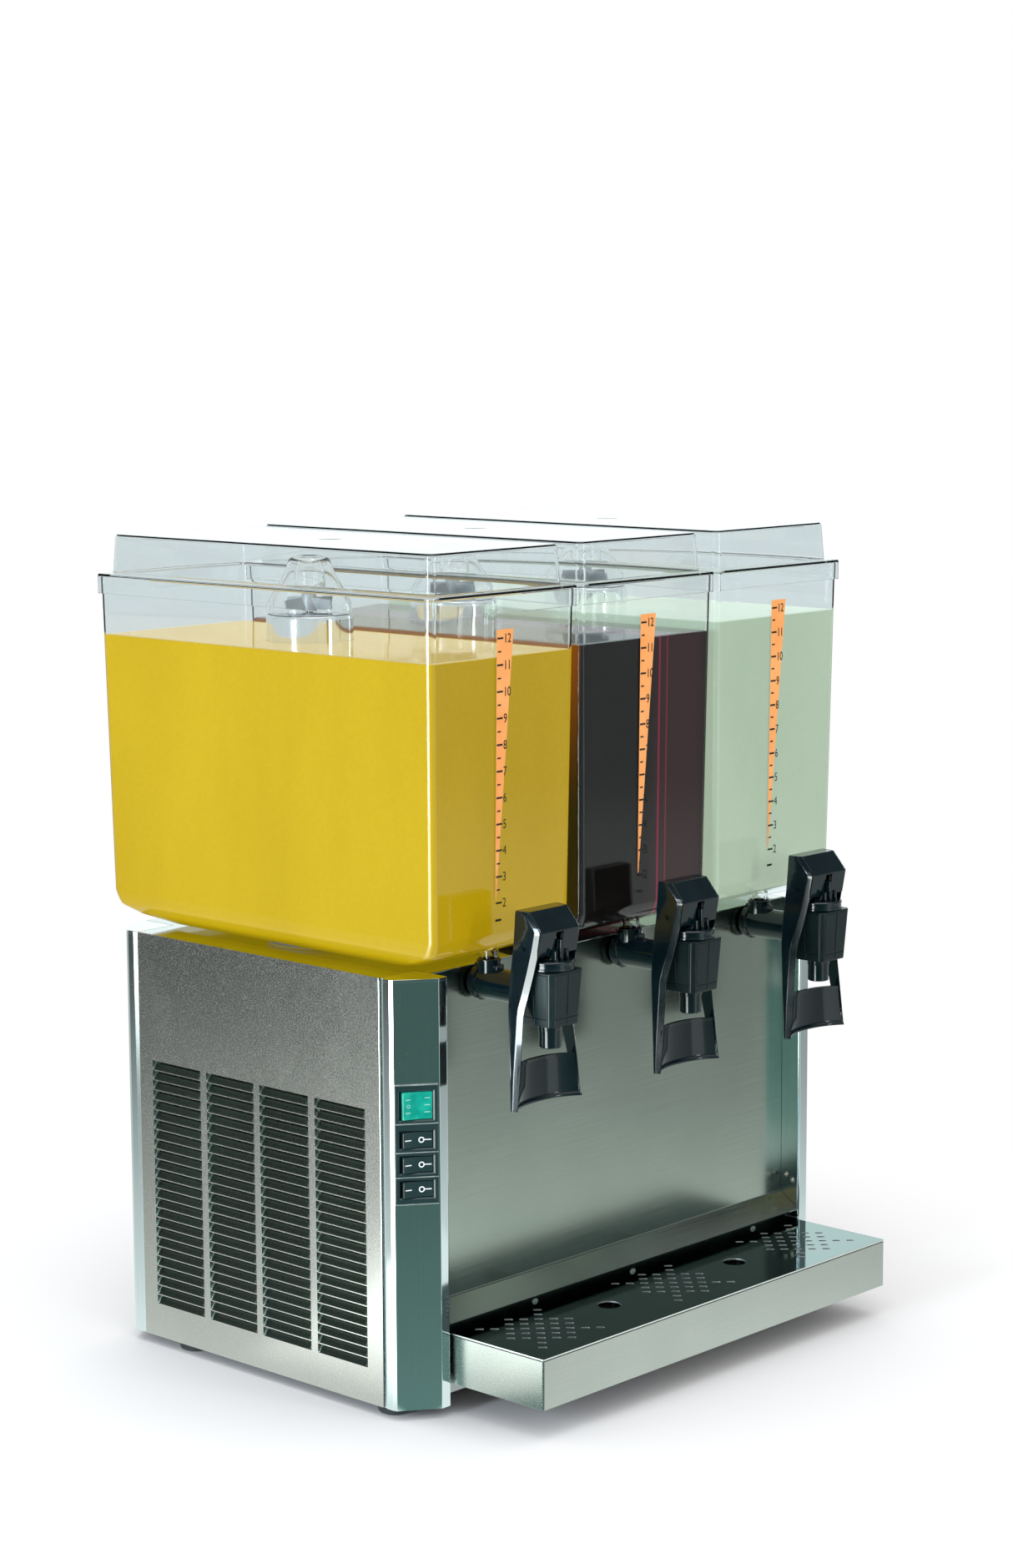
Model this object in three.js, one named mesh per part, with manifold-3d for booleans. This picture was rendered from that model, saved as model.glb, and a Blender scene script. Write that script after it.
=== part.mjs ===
// Three-bowl refrigerated drink dispenser: stainless cabinet, three lift-off bowls with lids,
// three push-lever taps and a slide-out drip tray. Millimetres, +Z up, front towards -Y.
// The origin is the centre of the footprint of the whole machine, on the surface it stands on.

import * as THREE from 'three';
import { mergeVertices } from 'three/addons/utils/BufferGeometryUtils.js';
import Module from 'manifold-3d';

const wasm = await Module();
wasm.setup();

// ---------------------------------------------------------------- driving dimensions
// Heights are above the standing surface. Depths are measured from the front panel's face.
const GAP = 0.3;                 // clearance between touching pieces
const SHEET = 1.2;               // cabinet sheet steel

const WIDTH = 524;               // across the side panels
const BODY_FRONT = -20;          // front faces of the front posts
const BODY_BACK = 338;           // rear faces of the rear posts
const BODY_BOTTOM = 8.5;
const BODY_TOP = 354;
const POST_WIDTH = 40;           // along X
const POST_DEPTH = 36;           // along Y, from post face to side panel
const CHAMFER_RUN = 29.7;        // post chamfer along X
const CHAMFER_RISE = 22.4;       // post chamfer along Y
const POST_WALL = 1.6;
const POST_EDGE_RADIUS = 4;

const FOOT_RADIUS = 14.5;
const FOOT_X = 242;
const FOOT_YS = [22, 259];

const LIP_FOLD_Z = 88.5;         // front panel's splash lip
const LIP_EDGE_Z = 74.5;
const PANEL_BOTTOM = 26;

const LOUVRE_ROWS = 25;
const LOUVRE_PITCH = 8.42;
const LOUVRE_BOTTOM = 37.5;
const LOUVRE_LENGTH = 57;
const LOUVRE_OPENING = 3.2;
const LOUVRE_STARTS = [33, 97.5, 161.5, 226];
const REAR_VENT_ROWS = 8;
const REAR_VENT_PITCH = 17;
const REAR_VENT_BOTTOM = 90;
const REAR_VENT_HALF = 110;
const REAR_VENT_OPENING = 4;

const COMPRESSOR_X = 95;
const COMPRESSOR_Y = 175;
const CONDENSER_X = [-250, -222];
const CONDENSER_Y = [50, 270];
const CONDENSER_Z = [32, 232];
const FIN_GAPS = 12;
const FIN_GAP_PITCH = 17;
const FIN_GAP_WIDTH = 9;
const FAN_X = -196;
const FAN_Y = 160;
const FAN_Z = 130;
const FAN_RADIUS = 82;
const FAN_BLADES = 5;
const FAN_MOTOR_RADIUS = 32;
const INLET_X = 165;             // mains inlet in the rear panel
const INLET_Z = 60;
const INLET_HALF_X = 12;         // inside of its socket
const INLET_HALF_Z = 8;
const INLET_WALL = 1.7;
const INLET_PIN_PITCH = 7;

const BOWL_PITCH = 170;
const BOWL_CENTRE = (BODY_FRONT + BODY_BACK) / 2;
const BOWL_HALF_X = 82.2;        // outside of the rim
const BOWL_HALF_Y = 193.1;
const BOWL_DRAFT = Math.tan(THREE.MathUtils.degToRad(0.9));
const BOWL_BOTTOM = 357;
const BOWL_RIM = 648;
const BOWL_WALL = 2.6;
const BOWL_BEND = 384;           // height where the bottom bend starts
const NECK_Y = -15;              // outlet under the bowl's front overhang
const NECK_RADIUS = 7.4;
const NECK_BORE = 5;

const LID_TOP = 683;
const LID_LEDGE = 650;
const LID_SKIRT = 633.5;
const LID_WALL = 1.6;
const LID_HALF_X = 84.1;
const LID_HALF_Y = 195;

const COOLER_Y = 183;            // axis of the evaporator column
const COOLER_RADIUS = 35.7;
const COOLER_TOP = 622;
const COOLER_WALL = 1.2;
const COOLER_FLANGE = 39.6;      // just wider than the deck's hole, under the deck
const DECK_HOLE = 37;
const SEAL_INNER = 36.1;
const SEAL_OUTER = 39.6;
const PUMP_TOP = 669;

const TAP_Y = -79.5;             // axis of the valve
const TUBE_Z = 340.5;            // axis of the outlet tube
const TUBE_RADIUS = 12.8;
const TUBE_BORE = 8.5;
const TUBE_BACK = -1.5;
const RING_RADIUS = 14.6;
const VALVE_HALF = 19;
const VALVE_BOTTOM = 317.5;
const VALVE_TOP = 360.5;
const SPOUT_RADIUS = 8.8;
const SPOUT_BORE = 6.2;
const SPOUT_END = 298.5;
const BONNET_TOP = 368.5;
const PIVOT_Y = -75.5;
const PIVOT_Z = 379;
const PIN_RADIUS = 2.3;
const LEVER_HALF = 24;
const LEVER_WALL = 2.6;

const TRAY_HALF = 219.3;
const TRAY_FRONT = -116;
const TRAY_BACK = -2;
const TRAY_BOTTOM = 25;
const TRAY_RIM = 64.8;
const TRAY_TOP = 66.3;
const TRAY_WALL = 1.2;
const SLOT_PITCH = 12;
const SLOT_LENGTH = 6.6;
const SLOT_WIDTH = 3.4;
const SLOT_PATTERN_Y = -61.5;
const SLOT_PATTERN_X = 163.5;
const SLOT_COLUMNS = [1, 1, 5, 5, 9, 5, 5, 1, 1];
const FINGER_HOLE_X = 80.5;
const FINGER_HOLE_RADIUS = 10;

const SWITCH_BOTTOM = 176;       // switch plate on the front left post's chamfer
const SWITCH_TOP = 270.4;
const SWITCH_HALF = 16.8;
const MAIN_ROCKER = { z: 254.2, halfX: 12.2, halfZ: 10.8 };
const SMALL_ROCKERS = [227, 207.2, 187.4].map((z) => ({ z, halfX: 12.2, halfZ: 6.2 }));
const ROCKER_TILT = THREE.MathUtils.degToRad(8);
const ROCKER_PIVOT = 4.5;        // pivot depth behind the chamfer face

const DEPTH_CENTRE = (TRAY_FRONT + BOWL_CENTRE + LID_HALF_Y) / 2;
const HALF_WIDTH = WIDTH / 2;
const INNER_HALF = HALF_WIDTH - POST_WIDTH;
const SIDE_FRONT = BODY_FRONT + POST_DEPTH;
const SIDE_BACK = BODY_BACK - POST_DEPTH;
const BOWL_XS = [-BOWL_PITCH, 0, BOWL_PITCH];

// ---------------------------------------------------------------- finishes
function finish(color, roughness, metalness, opacity = 1) {
  return { color, roughness, metalness, opacity, transparent: opacity < 1 };
}

const FINISH = {
  brushed: finish(0x9aa39d, 0.35, 1),
  bright: finish(0xc4cbc8, 0.15, 1),
  galvanised: finish(0x8b9190, 0.5, 0.8),
  clear: finish(0xe6f0ee, 0.08, 0, 0.35),
  tap: finish(0x11282e, 0.25, 0),
  black: finish(0x15181a, 0.6, 0),
  rubber: finish(0x1c1e1f, 0.85, 0),
  silicone: finish(0xd8d8d2, 0.6, 0),
  white: finish(0xe8e8e4, 0.45, 0),
  green: finish(0x14a08c, 0.2, 0, 0.9),
  enamel: finish(0x101214, 0.35, 0.3),
  condenser: finish(0x9a9f9e, 0.4, 1),
};

// ---------------------------------------------------------------- solids
function toSolid(geometry) {
  const bare = geometry.index ? geometry.clone() : mergeVertices(geometry);
  bare.deleteAttribute('normal');
  bare.deleteAttribute('uv');
  const merged = mergeVertices(bare, 1e-4);
  const vertProperties = Float32Array.from(merged.attributes.position.array);
  const triVerts = Uint32Array.from(merged.index.array);
  return new wasm.Manifold(new wasm.Mesh({ numProp: 3, vertProperties, triVerts }));
}

function toGeometry(solid) {
  const mesh = solid.getMesh();
  const geometry = new THREE.BufferGeometry();
  geometry.setAttribute('position', new THREE.BufferAttribute(mesh.vertProperties, 3));
  geometry.setIndex(new THREE.BufferAttribute(mesh.triVerts, 1));
  return geometry;
}

function join(first, ...others) {
  const solid = others.reduce((sum, next) => sum.add(toSolid(next)), toSolid(first));
  return toGeometry(solid);
}

function cut(first, ...others) {
  const solid = others.reduce((rest, next) => rest.subtract(toSolid(next)), toSolid(first));
  return toGeometry(solid);
}

// Box between two opposite corners.
function block(low, high) {
  const size = low.map((value, axis) => high[axis] - value);
  const middle = low.map((value, axis) => (high[axis] + value) / 2);
  return new THREE.BoxGeometry(...size).translate(...middle);
}

// Upright cylinder, or cone frustum, about (x, y).
function rod(x, y, bottom, top, radius, segments = 24, topRadius = radius) {
  const geometry = new THREE.CylinderGeometry(topRadius, radius, top - bottom, segments);
  return geometry.rotateX(Math.PI / 2).translate(x, y, (top + bottom) / 2);
}

// Cylinder lying along Y.
function rodAlongY(x, z, front, back, radius, segments = 24) {
  const geometry = new THREE.CylinderGeometry(radius, radius, back - front, segments);
  return geometry.translate(x, (front + back) / 2, z);
}

// Cylinder lying along X.
function rodAlongX(y, z, left, right, radius, segments = 16) {
  const geometry = new THREE.CylinderGeometry(radius, radius, right - left, segments);
  return geometry.rotateZ(Math.PI / 2).translate((left + right) / 2, y, z);
}

// Solid of revolution about an upright axis, from [radius, height] pairs that start and end on it
// or close on themselves.
function turned(profile, segments = 24) {
  const points = profile.map(([radius, height]) => new THREE.Vector2(radius, height));
  return new THREE.LatheGeometry(points, segments).rotateX(Math.PI / 2);
}

// Outline with rounded corners, from [x, y, radius] points.
function roundedOutline(points) {
  const shape = new THREE.Shape();
  points.forEach(([x, y, radius = 0], i) => {
    const corner = new THREE.Vector2(x, y);
    const before = new THREE.Vector2(...points[(i + points.length - 1) % points.length]);
    const after = new THREE.Vector2(...points[(i + 1) % points.length]);
    const start = before.sub(corner).setLength(radius).add(corner);
    const end = after.sub(corner).setLength(radius).add(corner);
    if (i === 0) shape.moveTo(start.x, start.y);
    else shape.lineTo(start.x, start.y);
    if (radius > 0) shape.quadraticCurveTo(corner.x, corner.y, end.x, end.y);
  });
  shape.closePath();
  return shape;
}

function extrude(shape, bottom, top, curveSegments = 3) {
  const options = { depth: top - bottom, bevelEnabled: false, curveSegments };
  return new THREE.ExtrudeGeometry(shape, options).translate(0, 0, bottom);
}

// Outline drawn in (Y, Z), extruded along X.
function extrudeAlongX(points, left, right) {
  const geometry = extrude(roundedOutline(points), left, right);
  const axes = new THREE.Matrix4().makeBasis(
    new THREE.Vector3(0, 1, 0),
    new THREE.Vector3(0, 0, 1),
    new THREE.Vector3(1, 0, 0),
  );
  return geometry.applyMatrix4(axes);
}

// Corner points of a rounded rectangle, counter-clockwise.
function rectangleRing(halfX, halfY, radius, segments) {
  const ring = [];
  for (let corner = 0; corner < 4; corner += 1) {
    const signX = corner === 0 || corner === 3 ? 1 : -1;
    const signY = corner < 2 ? 1 : -1;
    for (let step = 0; step <= segments; step += 1) {
      const angle = (corner + step / segments) * (Math.PI / 2);
      const x = signX * (halfX - radius) + radius * Math.cos(angle);
      const y = signY * (halfY - radius) + radius * Math.sin(angle);
      ring.push([x, y]);
    }
  }
  return ring;
}

// Stack of rings with equal point counts, closed by flat ends, listed from the bottom up.
function stackOfRings(rings, heights) {
  const count = rings[0].length;
  const positions = rings.flatMap((ring, level) => ring.flatMap(([x, y]) => [x, y, heights[level]]));
  const index = [];
  for (let level = 0; level + 1 < rings.length; level += 1) {
    for (let i = 0; i < count; i += 1) {
      const a = level * count + i;
      const b = level * count + ((i + 1) % count);
      index.push(a, b, b + count, a, b + count, a + count);
    }
  }
  const top = (rings.length - 1) * count;
  for (let i = 1; i + 1 < count; i += 1) {
    index.push(0, i + 1, i);
    index.push(top, top + i, top + i + 1);
  }
  const geometry = new THREE.BufferGeometry();
  geometry.setAttribute('position', new THREE.Float32BufferAttribute(positions, 3));
  geometry.setIndex(index);
  return geometry;
}

// Stack of rounded rectangles, from [height, halfX, halfY, radius] levels.
function stackOfRectangles(levels, segments = 3) {
  const rings = levels.map(([, halfX, halfY, radius]) => rectangleRing(halfX, halfY, radius, segments));
  return stackOfRings(rings, levels.map(([height]) => height));
}

// ---------------------------------------------------------------- scene graph
const machine = new THREE.Group();
machine.position.y = -DEPTH_CENTRE;

function add(parent, name, geometry, look) {
  const mesh = new THREE.Mesh(geometry, new THREE.MeshStandardMaterial(look));
  mesh.name = name;
  parent.add(mesh);
  return mesh;
}

// ---------------------------------------------------------------- cabinet
// Plan of the cabinet's inside: a rectangle with its corners left free for the posts.
function cabinetPlan(inset) {
  const sideX = HALF_WIDTH - SHEET - GAP - inset;
  const postX = INNER_HALF - GAP - inset;
  const front = SHEET + GAP + inset;
  const back = BODY_BACK - SHEET - GAP - inset;
  const sideFront = SIDE_FRONT + GAP + inset;
  const sideBack = SIDE_BACK - GAP - inset;
  const right = [[postX, front], [postX, sideFront], [sideX, sideFront],
    [sideX, sideBack], [postX, sideBack], [postX, back]];
  const left = right.map(([x, y]) => [-x, y]).reverse();
  return roundedOutline([...right, ...left]);
}

function buildCabinet() {
  const panFloor = BODY_BOTTOM + SHEET;
  const panRim = 34;
  const pan = extrude(cabinetPlan(0), BODY_BOTTOM, panRim);
  const panInside = extrude(cabinetPlan(SHEET), panFloor, panRim + 1);
  add(machine, 'base_pan', cut(pan, panInside), FINISH.galvanised);

  const deckHoles = BOWL_XS.map((x) => rod(x, COOLER_Y, BODY_TOP - 5, BODY_TOP + 5, DECK_HOLE, 32));
  const nosing = block([-INNER_HALF + GAP, -0.2, BODY_TOP - SHEET], [INNER_HALF - GAP, 3, BODY_TOP]);
  const deckPlate = join(extrude(cabinetPlan(0), BODY_TOP - SHEET, BODY_TOP), nosing);
  add(machine, 'deck', cut(deckPlate, ...deckHoles), FINISH.bright);

  const panelTop = BODY_TOP - SHEET - GAP;
  const lipSlope = LIP_FOLD_Z - SHEET * 1.4;
  const frontOutline = [
    [0, panelTop], [0, LIP_FOLD_Z], [BODY_FRONT, LIP_EDGE_Z], [BODY_FRONT, LIP_EDGE_Z - SHEET],
    [0, lipSlope], [0, PANEL_BOTTOM], [SHEET, PANEL_BOTTOM], [SHEET, panelTop],
  ];
  const frontHalf = INNER_HALF - GAP;
  add(machine, 'front_panel', extrudeAlongX(frontOutline, -frontHalf, frontHalf), FINISH.brushed);

  const rearVents = [];
  for (let row = 0; row < REAR_VENT_ROWS; row += 1) {
    const z = REAR_VENT_BOTTOM + row * REAR_VENT_PITCH;
    rearVents.push(block([-REAR_VENT_HALF, BODY_BACK - 5, z],
      [REAR_VENT_HALF, BODY_BACK + 5, z + REAR_VENT_OPENING]));
  }
  const holeX = INLET_HALF_X + INLET_WALL + GAP;
  const holeZ = INLET_HALF_Z + INLET_WALL + GAP + 0.3;
  const inletHole = block([INLET_X - holeX, BODY_BACK - 5, INLET_Z - holeZ],
    [INLET_X + holeX, BODY_BACK + 5, INLET_Z + holeZ]);
  const rearPlate = block([-frontHalf, BODY_BACK - SHEET, BODY_BOTTOM], [frontHalf, BODY_BACK, panelTop]);
  add(machine, 'rear_panel', cut(rearPlate, ...rearVents, inletHole), FINISH.brushed);

  for (const [name, side] of [['left_side_panel', -1], ['right_side_panel', 1]]) {
    add(machine, name, sidePanel(side), FINISH.brushed);
  }
}

// Side panel with its columns of louvre openings.
function sidePanel(side) {
  const inner = side * (HALF_WIDTH - SHEET);
  const outer = side * HALF_WIDTH;
  const [low, high] = inner < outer ? [inner, outer] : [outer, inner];
  const plate = block([low, SIDE_FRONT + GAP, BODY_BOTTOM], [high, SIDE_BACK - GAP, BODY_TOP]);
  const openings = [];
  for (const start of LOUVRE_STARTS) {
    for (let row = 0; row < LOUVRE_ROWS; row += 1) {
      const z = LOUVRE_BOTTOM + (row + 0.5) * LOUVRE_PITCH - LOUVRE_OPENING / 2;
      openings.push(block([low - 1, start, z], [high + 1, start + LOUVRE_LENGTH, z + LOUVRE_OPENING]));
    }
  }
  return cut(plate, ...openings);
}

// Corner post: a folded channel with a chamfered outer corner and a closed top.
// It is drawn for the front left corner, with (0, 0) where the uncut outer faces would meet.
function cornerPost() {
  const slope = Math.hypot(CHAMFER_RUN, CHAMFER_RISE);
  const side = CHAMFER_RISE + (POST_WALL * (slope - CHAMFER_RISE)) / CHAMFER_RUN;
  const face = CHAMFER_RUN + (POST_WALL * (slope - CHAMFER_RUN)) / CHAMFER_RISE;
  const returnDepth = -BODY_FRONT;
  const outside = roundedOutline([
    [0, POST_DEPTH], [0, CHAMFER_RISE, POST_EDGE_RADIUS], [CHAMFER_RUN, 0, POST_EDGE_RADIUS],
    [POST_WIDTH, 0, POST_EDGE_RADIUS], [POST_WIDTH, POST_DEPTH],
  ]);
  const inner = POST_WIDTH - POST_WALL;
  const innerRadius = POST_EDGE_RADIUS - POST_WALL;
  const inside = roundedOutline([
    [POST_WALL, POST_DEPTH + 10], [POST_WALL, side, innerRadius], [face, POST_WALL, innerRadius],
    [inner, POST_WALL, innerRadius], [inner, POST_DEPTH + 10],
  ]);
  const capBottom = BODY_TOP - 2;
  const full = extrude(outside, BODY_BOTTOM, BODY_TOP, 2);
  const hollow = extrude(inside, BODY_BOTTOM - 5, capBottom, 2);
  const behindReturn = block([inner - 1, returnDepth, BODY_BOTTOM - 5],
    [POST_WIDTH + 5, POST_DEPTH + 5, capBottom]);
  return cut(full, hollow, behindReturn);
}

// Group on the front left chamfer: X runs along its face, -Y points out of it, Z is up.
function chamferFrame() {
  const frame = new THREE.Group();
  frame.position.x = -HALF_WIDTH + CHAMFER_RUN / 2;
  frame.position.y = BODY_FRONT + CHAMFER_RISE / 2;
  frame.rotation.z = -Math.atan2(CHAMFER_RISE, CHAMFER_RUN);
  frame.updateMatrix();
  return frame;
}

function buildPosts(frame) {
  const window = block([-SWITCH_HALF - GAP, -8, SWITCH_BOTTOM - GAP],
    [SWITCH_HALF + GAP, 8, SWITCH_TOP + GAP]);
  window.applyMatrix4(frame.matrix);
  const corners = [
    ['front_left_post', 1, 1], ['front_right_post', -1, 1],
    ['rear_left_post', 1, -1], ['rear_right_post', -1, -1],
  ];
  for (const [name, signX, signY] of corners) {
    let post = toSolid(cornerPost()).scale([signX, signY, 1]);
    post = post.translate([-signX * HALF_WIDTH, signY > 0 ? BODY_FRONT : BODY_BACK, 0]);
    if (name === 'front_left_post') post = post.subtract(toSolid(window));
    add(machine, name, toGeometry(post), FINISH.bright);
  }
}

function buildFeet() {
  const top = BODY_BOTTOM - GAP;
  const profile = [[0, 0], [FOOT_RADIUS, 0], [FOOT_RADIUS - 1.5, top], [0, top]];
  const names = [['front_left_foot', -1, 0], ['front_right_foot', 1, 0],
    ['rear_left_foot', -1, 1], ['rear_right_foot', 1, 1]];
  for (const [name, side, row] of names) {
    const foot = add(machine, name, turned(profile, 20), FINISH.rubber);
    foot.position.set(side * FOOT_X, FOOT_YS[row], 0);
  }
}

// ---------------------------------------------------------------- switches
// Carrier plate with four windows, and a rocker that turns about an upright pivot in each.
function buildSwitches(frame) {
  machine.add(frame);
  const rockers = [MAIN_ROCKER, ...SMALL_ROCKERS];
  const sweep = 0.9;
  const windows = rockers.map(({ z, halfX, halfZ }) => block(
    [-halfX - sweep, -9, z - halfZ - GAP],
    [halfX + sweep, 9, z + halfZ + GAP],
  ));
  const plate = block([-SWITCH_HALF, -1, SWITCH_BOTTOM], [SWITCH_HALF, 2.2, SWITCH_TOP]);
  add(frame, 'switch_plate', cut(plate, ...windows), FINISH.black);

  const names = ['main_rocker', 'left_stirrer_rocker', 'centre_stirrer_rocker', 'right_stirrer_rocker'];
  rockers.forEach(({ z, halfX, halfZ }, i) => {
    const crown = -2.2 - ROCKER_PIVOT;
    const valley = -0.9 - ROCKER_PIVOT;
    const shape = roundedOutline([
      [-halfX + 0.3, crown], [0, valley], [halfX - 0.3, crown], [halfX, -ROCKER_PIVOT + 1.5],
      [halfX * 0.45, 2.2], [-halfX * 0.45, 2.2], [-halfX, -ROCKER_PIVOT + 1.5],
    ]);
    const rocker = add(frame, names[i], extrude(shape, -halfZ, halfZ), i ? FINISH.black : FINISH.green);
    rocker.position.set(0, ROCKER_PIVOT, z);
    rocker.rotation.z = ROCKER_TILT;
  });
}

// ---------------------------------------------------------------- bowls and lids
// Levels of the bowl's outer form, moved in by a wall thickness for the inside.
function bowlLevels(inset, bottom, rim) {
  const rimDrop = BOWL_RIM - BOWL_BEND;
  const shrink = rimDrop * BOWL_DRAFT;
  const bendX = BOWL_HALF_X - shrink - inset;
  const bendY = BOWL_HALF_Y - shrink - inset;
  const radius = Math.max(6 - inset, 2.5);
  return [
    [bottom, bendX - 22, bendY - 46, 16],
    [bottom + 7.5, bendX - 7, bendY - 21, 12],
    [bottom + 14, bendX - 2, bendY - 5, 8],
    [BOWL_BEND, bendX, bendY, radius],
    [rim, BOWL_HALF_X - inset + (rim - BOWL_RIM) * BOWL_DRAFT,
      BOWL_HALF_Y - inset + (rim - BOWL_RIM) * BOWL_DRAFT, radius],
  ];
}

function bowlGeometry() {
  const shell = stackOfRectangles(bowlLevels(0, BOWL_BOTTOM, BOWL_RIM)).translate(0, BOWL_CENTRE, 0);
  const inside = stackOfRectangles(bowlLevels(BOWL_WALL, BOWL_BOTTOM + BOWL_WALL, BOWL_RIM + 5))
    .translate(0, BOWL_CENTRE, 0);
  const neck = rod(0, NECK_Y, TUBE_Z + TUBE_RADIUS - 1.5, BOWL_BOTTOM + 16, NECK_RADIUS, 16);
  const neckBore = rod(0, NECK_Y, TUBE_Z, BOWL_BOTTOM + 22, NECK_BORE, 16);
  const coolerHole = rod(0, COOLER_Y, BOWL_BOTTOM - 5, BOWL_BOTTOM + 10, SEAL_OUTER + GAP, 32);
  const hollowed = cut(shell, inside);
  return cut(join(hollowed, cut(neck, inside)), neckBore, coolerHole);
}

function lidGeometry() {
  const outer = stackOfRectangles([
    [LID_SKIRT, LID_HALF_X, LID_HALF_Y, 5],
    [LID_LEDGE, LID_HALF_X, LID_HALF_Y, 5],
    [LID_LEDGE + 0.8, LID_HALF_X - 9.3, LID_HALF_Y - 8.2, 6],
    [LID_TOP - 2, LID_HALF_X - 11, LID_HALF_Y - 9.7, 6],
    [LID_TOP, LID_HALF_X - 13, LID_HALF_Y - 11.7, 5],
  ]);
  const lipInset = LID_WALL + 0.1;
  const inner = stackOfRectangles([
    [LID_SKIRT - 5, LID_HALF_X - LID_WALL, LID_HALF_Y - LID_WALL, 3.4],
    [LID_LEDGE - LID_WALL, LID_HALF_X - LID_WALL, LID_HALF_Y - LID_WALL, 3.4],
    [LID_LEDGE - LID_WALL + 0.8, LID_HALF_X - 9.3 - lipInset, LID_HALF_Y - 8.2 - lipInset, 4.4],
    [LID_TOP - 3, LID_HALF_X - 11 - lipInset, LID_HALF_Y - 9.7 - lipInset, 4.4],
    [LID_TOP - 2.2, LID_HALF_X - 13, LID_HALF_Y - 11.7, 4],
  ]);
  return cut(outer, inner).translate(0, BOWL_CENTRE, 0);
}

function sealProfile() {
  return [
    [SEAL_INNER, BODY_TOP + GAP], [SEAL_OUTER, BODY_TOP + GAP], [SEAL_OUTER, BOWL_BOTTOM + 6],
    [SEAL_INNER, BOWL_BOTTOM + 6], [SEAL_INNER, BODY_TOP + GAP],
  ];
}

// ---------------------------------------------------------------- cooling and stirring columns
// Closed-topped evaporator column with a flange under the deck and an impeller pivot on its crown.
function coolerProfile() {
  const flangeTop = BODY_TOP - SHEET - GAP;
  const flangeBottom = flangeTop - 3;
  const inner = COOLER_RADIUS - COOLER_WALL;
  const crownInside = COOLER_TOP - COOLER_WALL;
  return [
    [0, crownInside], [inner, crownInside], [inner, flangeBottom], [COOLER_FLANGE, flangeBottom],
    [COOLER_FLANGE, flangeTop], [COOLER_RADIUS, flangeTop], [COOLER_RADIUS, COOLER_TOP - 4],
    [COOLER_RADIUS - 4, COOLER_TOP], [2.4, COOLER_TOP], [2.4, COOLER_TOP + 12], [0, COOLER_TOP + 12],
  ];
}

// Clear bell over the impeller, with an open crown.
function pumpCoverGeometry() {
  const wall = 1.6;
  const outside = [[35.2, COOLER_TOP + 0.6], [35.2, COOLER_TOP + 5], [31.5, COOLER_TOP + 12],
    [21, COOLER_TOP + 30], [17.6, COOLER_TOP + 38], [14, PUMP_TOP - 3], [7, PUMP_TOP]];
  const crown = (i) => i > 4;
  const inside = outside.map(([radius, z], i) => [
    radius - wall - (crown(i) ? 0 : 0.6), z - (crown(i) ? wall : 0),
  ]);
  const shell = turned([...outside, ...inside.reverse(), outside[0]], 20);
  const slots = [0, 1, 2].map((third) => block([0, -6, COOLER_TOP - 1], [45, 6, COOLER_TOP + 4])
    .rotateZ((third + 0.25) * (Math.PI * 2) / 3));
  return cut(shell, ...slots);
}

// Hub with four pitched blades, running on the evaporator's pivot.
function impellerGeometry() {
  const bottom = COOLER_TOP + 1.2;
  const hub = rod(0, 0, bottom, bottom + 14, 6.5, 16);
  const blades = [0, 1, 2, 3].map((quarter) => block([4, -0.9, -4.5], [26, 0.9, 4.5])
    .rotateX(0.35)
    .rotateZ(quarter * Math.PI / 2)
    .translate(0, 0, bottom + 6));
  const bore = rod(0, 0, bottom - 3, bottom + 12, 2.9, 16);
  return cut(join(hub, ...blades), bore);
}

// Stirrer motor carried up inside the evaporator on a tube.
function motorProfile() {
  const plate = BODY_TOP - SHEET - 2 * GAP - 3;
  return [[0, plate - 3], [COOLER_FLANGE, plate - 3], [COOLER_FLANGE, plate], [9, plate],
    [9, COOLER_TOP - 78], [27, COOLER_TOP - 72], [27, COOLER_TOP - 12], [20, COOLER_TOP - 9],
    [0, COOLER_TOP - 9]];
}

// ---------------------------------------------------------------- taps
function tapBodyGeometry() {
  const taper = 2.6;
  const valve = stackOfRectangles([
    [VALVE_BOTTOM, VALVE_HALF - taper, VALVE_HALF - taper, 3],
    [VALVE_TOP, VALVE_HALF, VALVE_HALF, 3],
  ], 1).translate(0, TAP_Y, 0);
  const spout = rod(0, TAP_Y, SPOUT_END, VALVE_BOTTOM + 4, SPOUT_RADIUS, 20);
  const tube = rodAlongY(0, TUBE_Z, TAP_Y, TUBE_BACK, TUBE_RADIUS);
  const ring = rodAlongY(0, TUBE_Z, -9.6, -6, RING_RADIUS);
  const lugs = [-25, -5.2].map((y) => block([-4, y - 2.1, TUBE_Z + 4], [4, y + 2.1, BOWL_BOTTOM - 0.6]));
  const chamber = rod(0, TAP_Y, VALVE_BOTTOM + 5, VALVE_TOP + 5, 12.5, 20);
  const spoutBore = rod(0, TAP_Y, SPOUT_END - 5, VALVE_BOTTOM + 10, SPOUT_BORE, 20);
  const tubeBore = rodAlongY(0, TUBE_Z, TAP_Y, TUBE_BACK - 3, TUBE_BORE, 16);
  const neckSocket = rod(0, NECK_Y, TUBE_Z, BOWL_BOTTOM, NECK_RADIUS + GAP, 16);
  const body = join(valve, spout, tube, ring, ...lugs);
  return cut(body, chamber, spoutBore, tubeBore, neckSocket);
}

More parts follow.
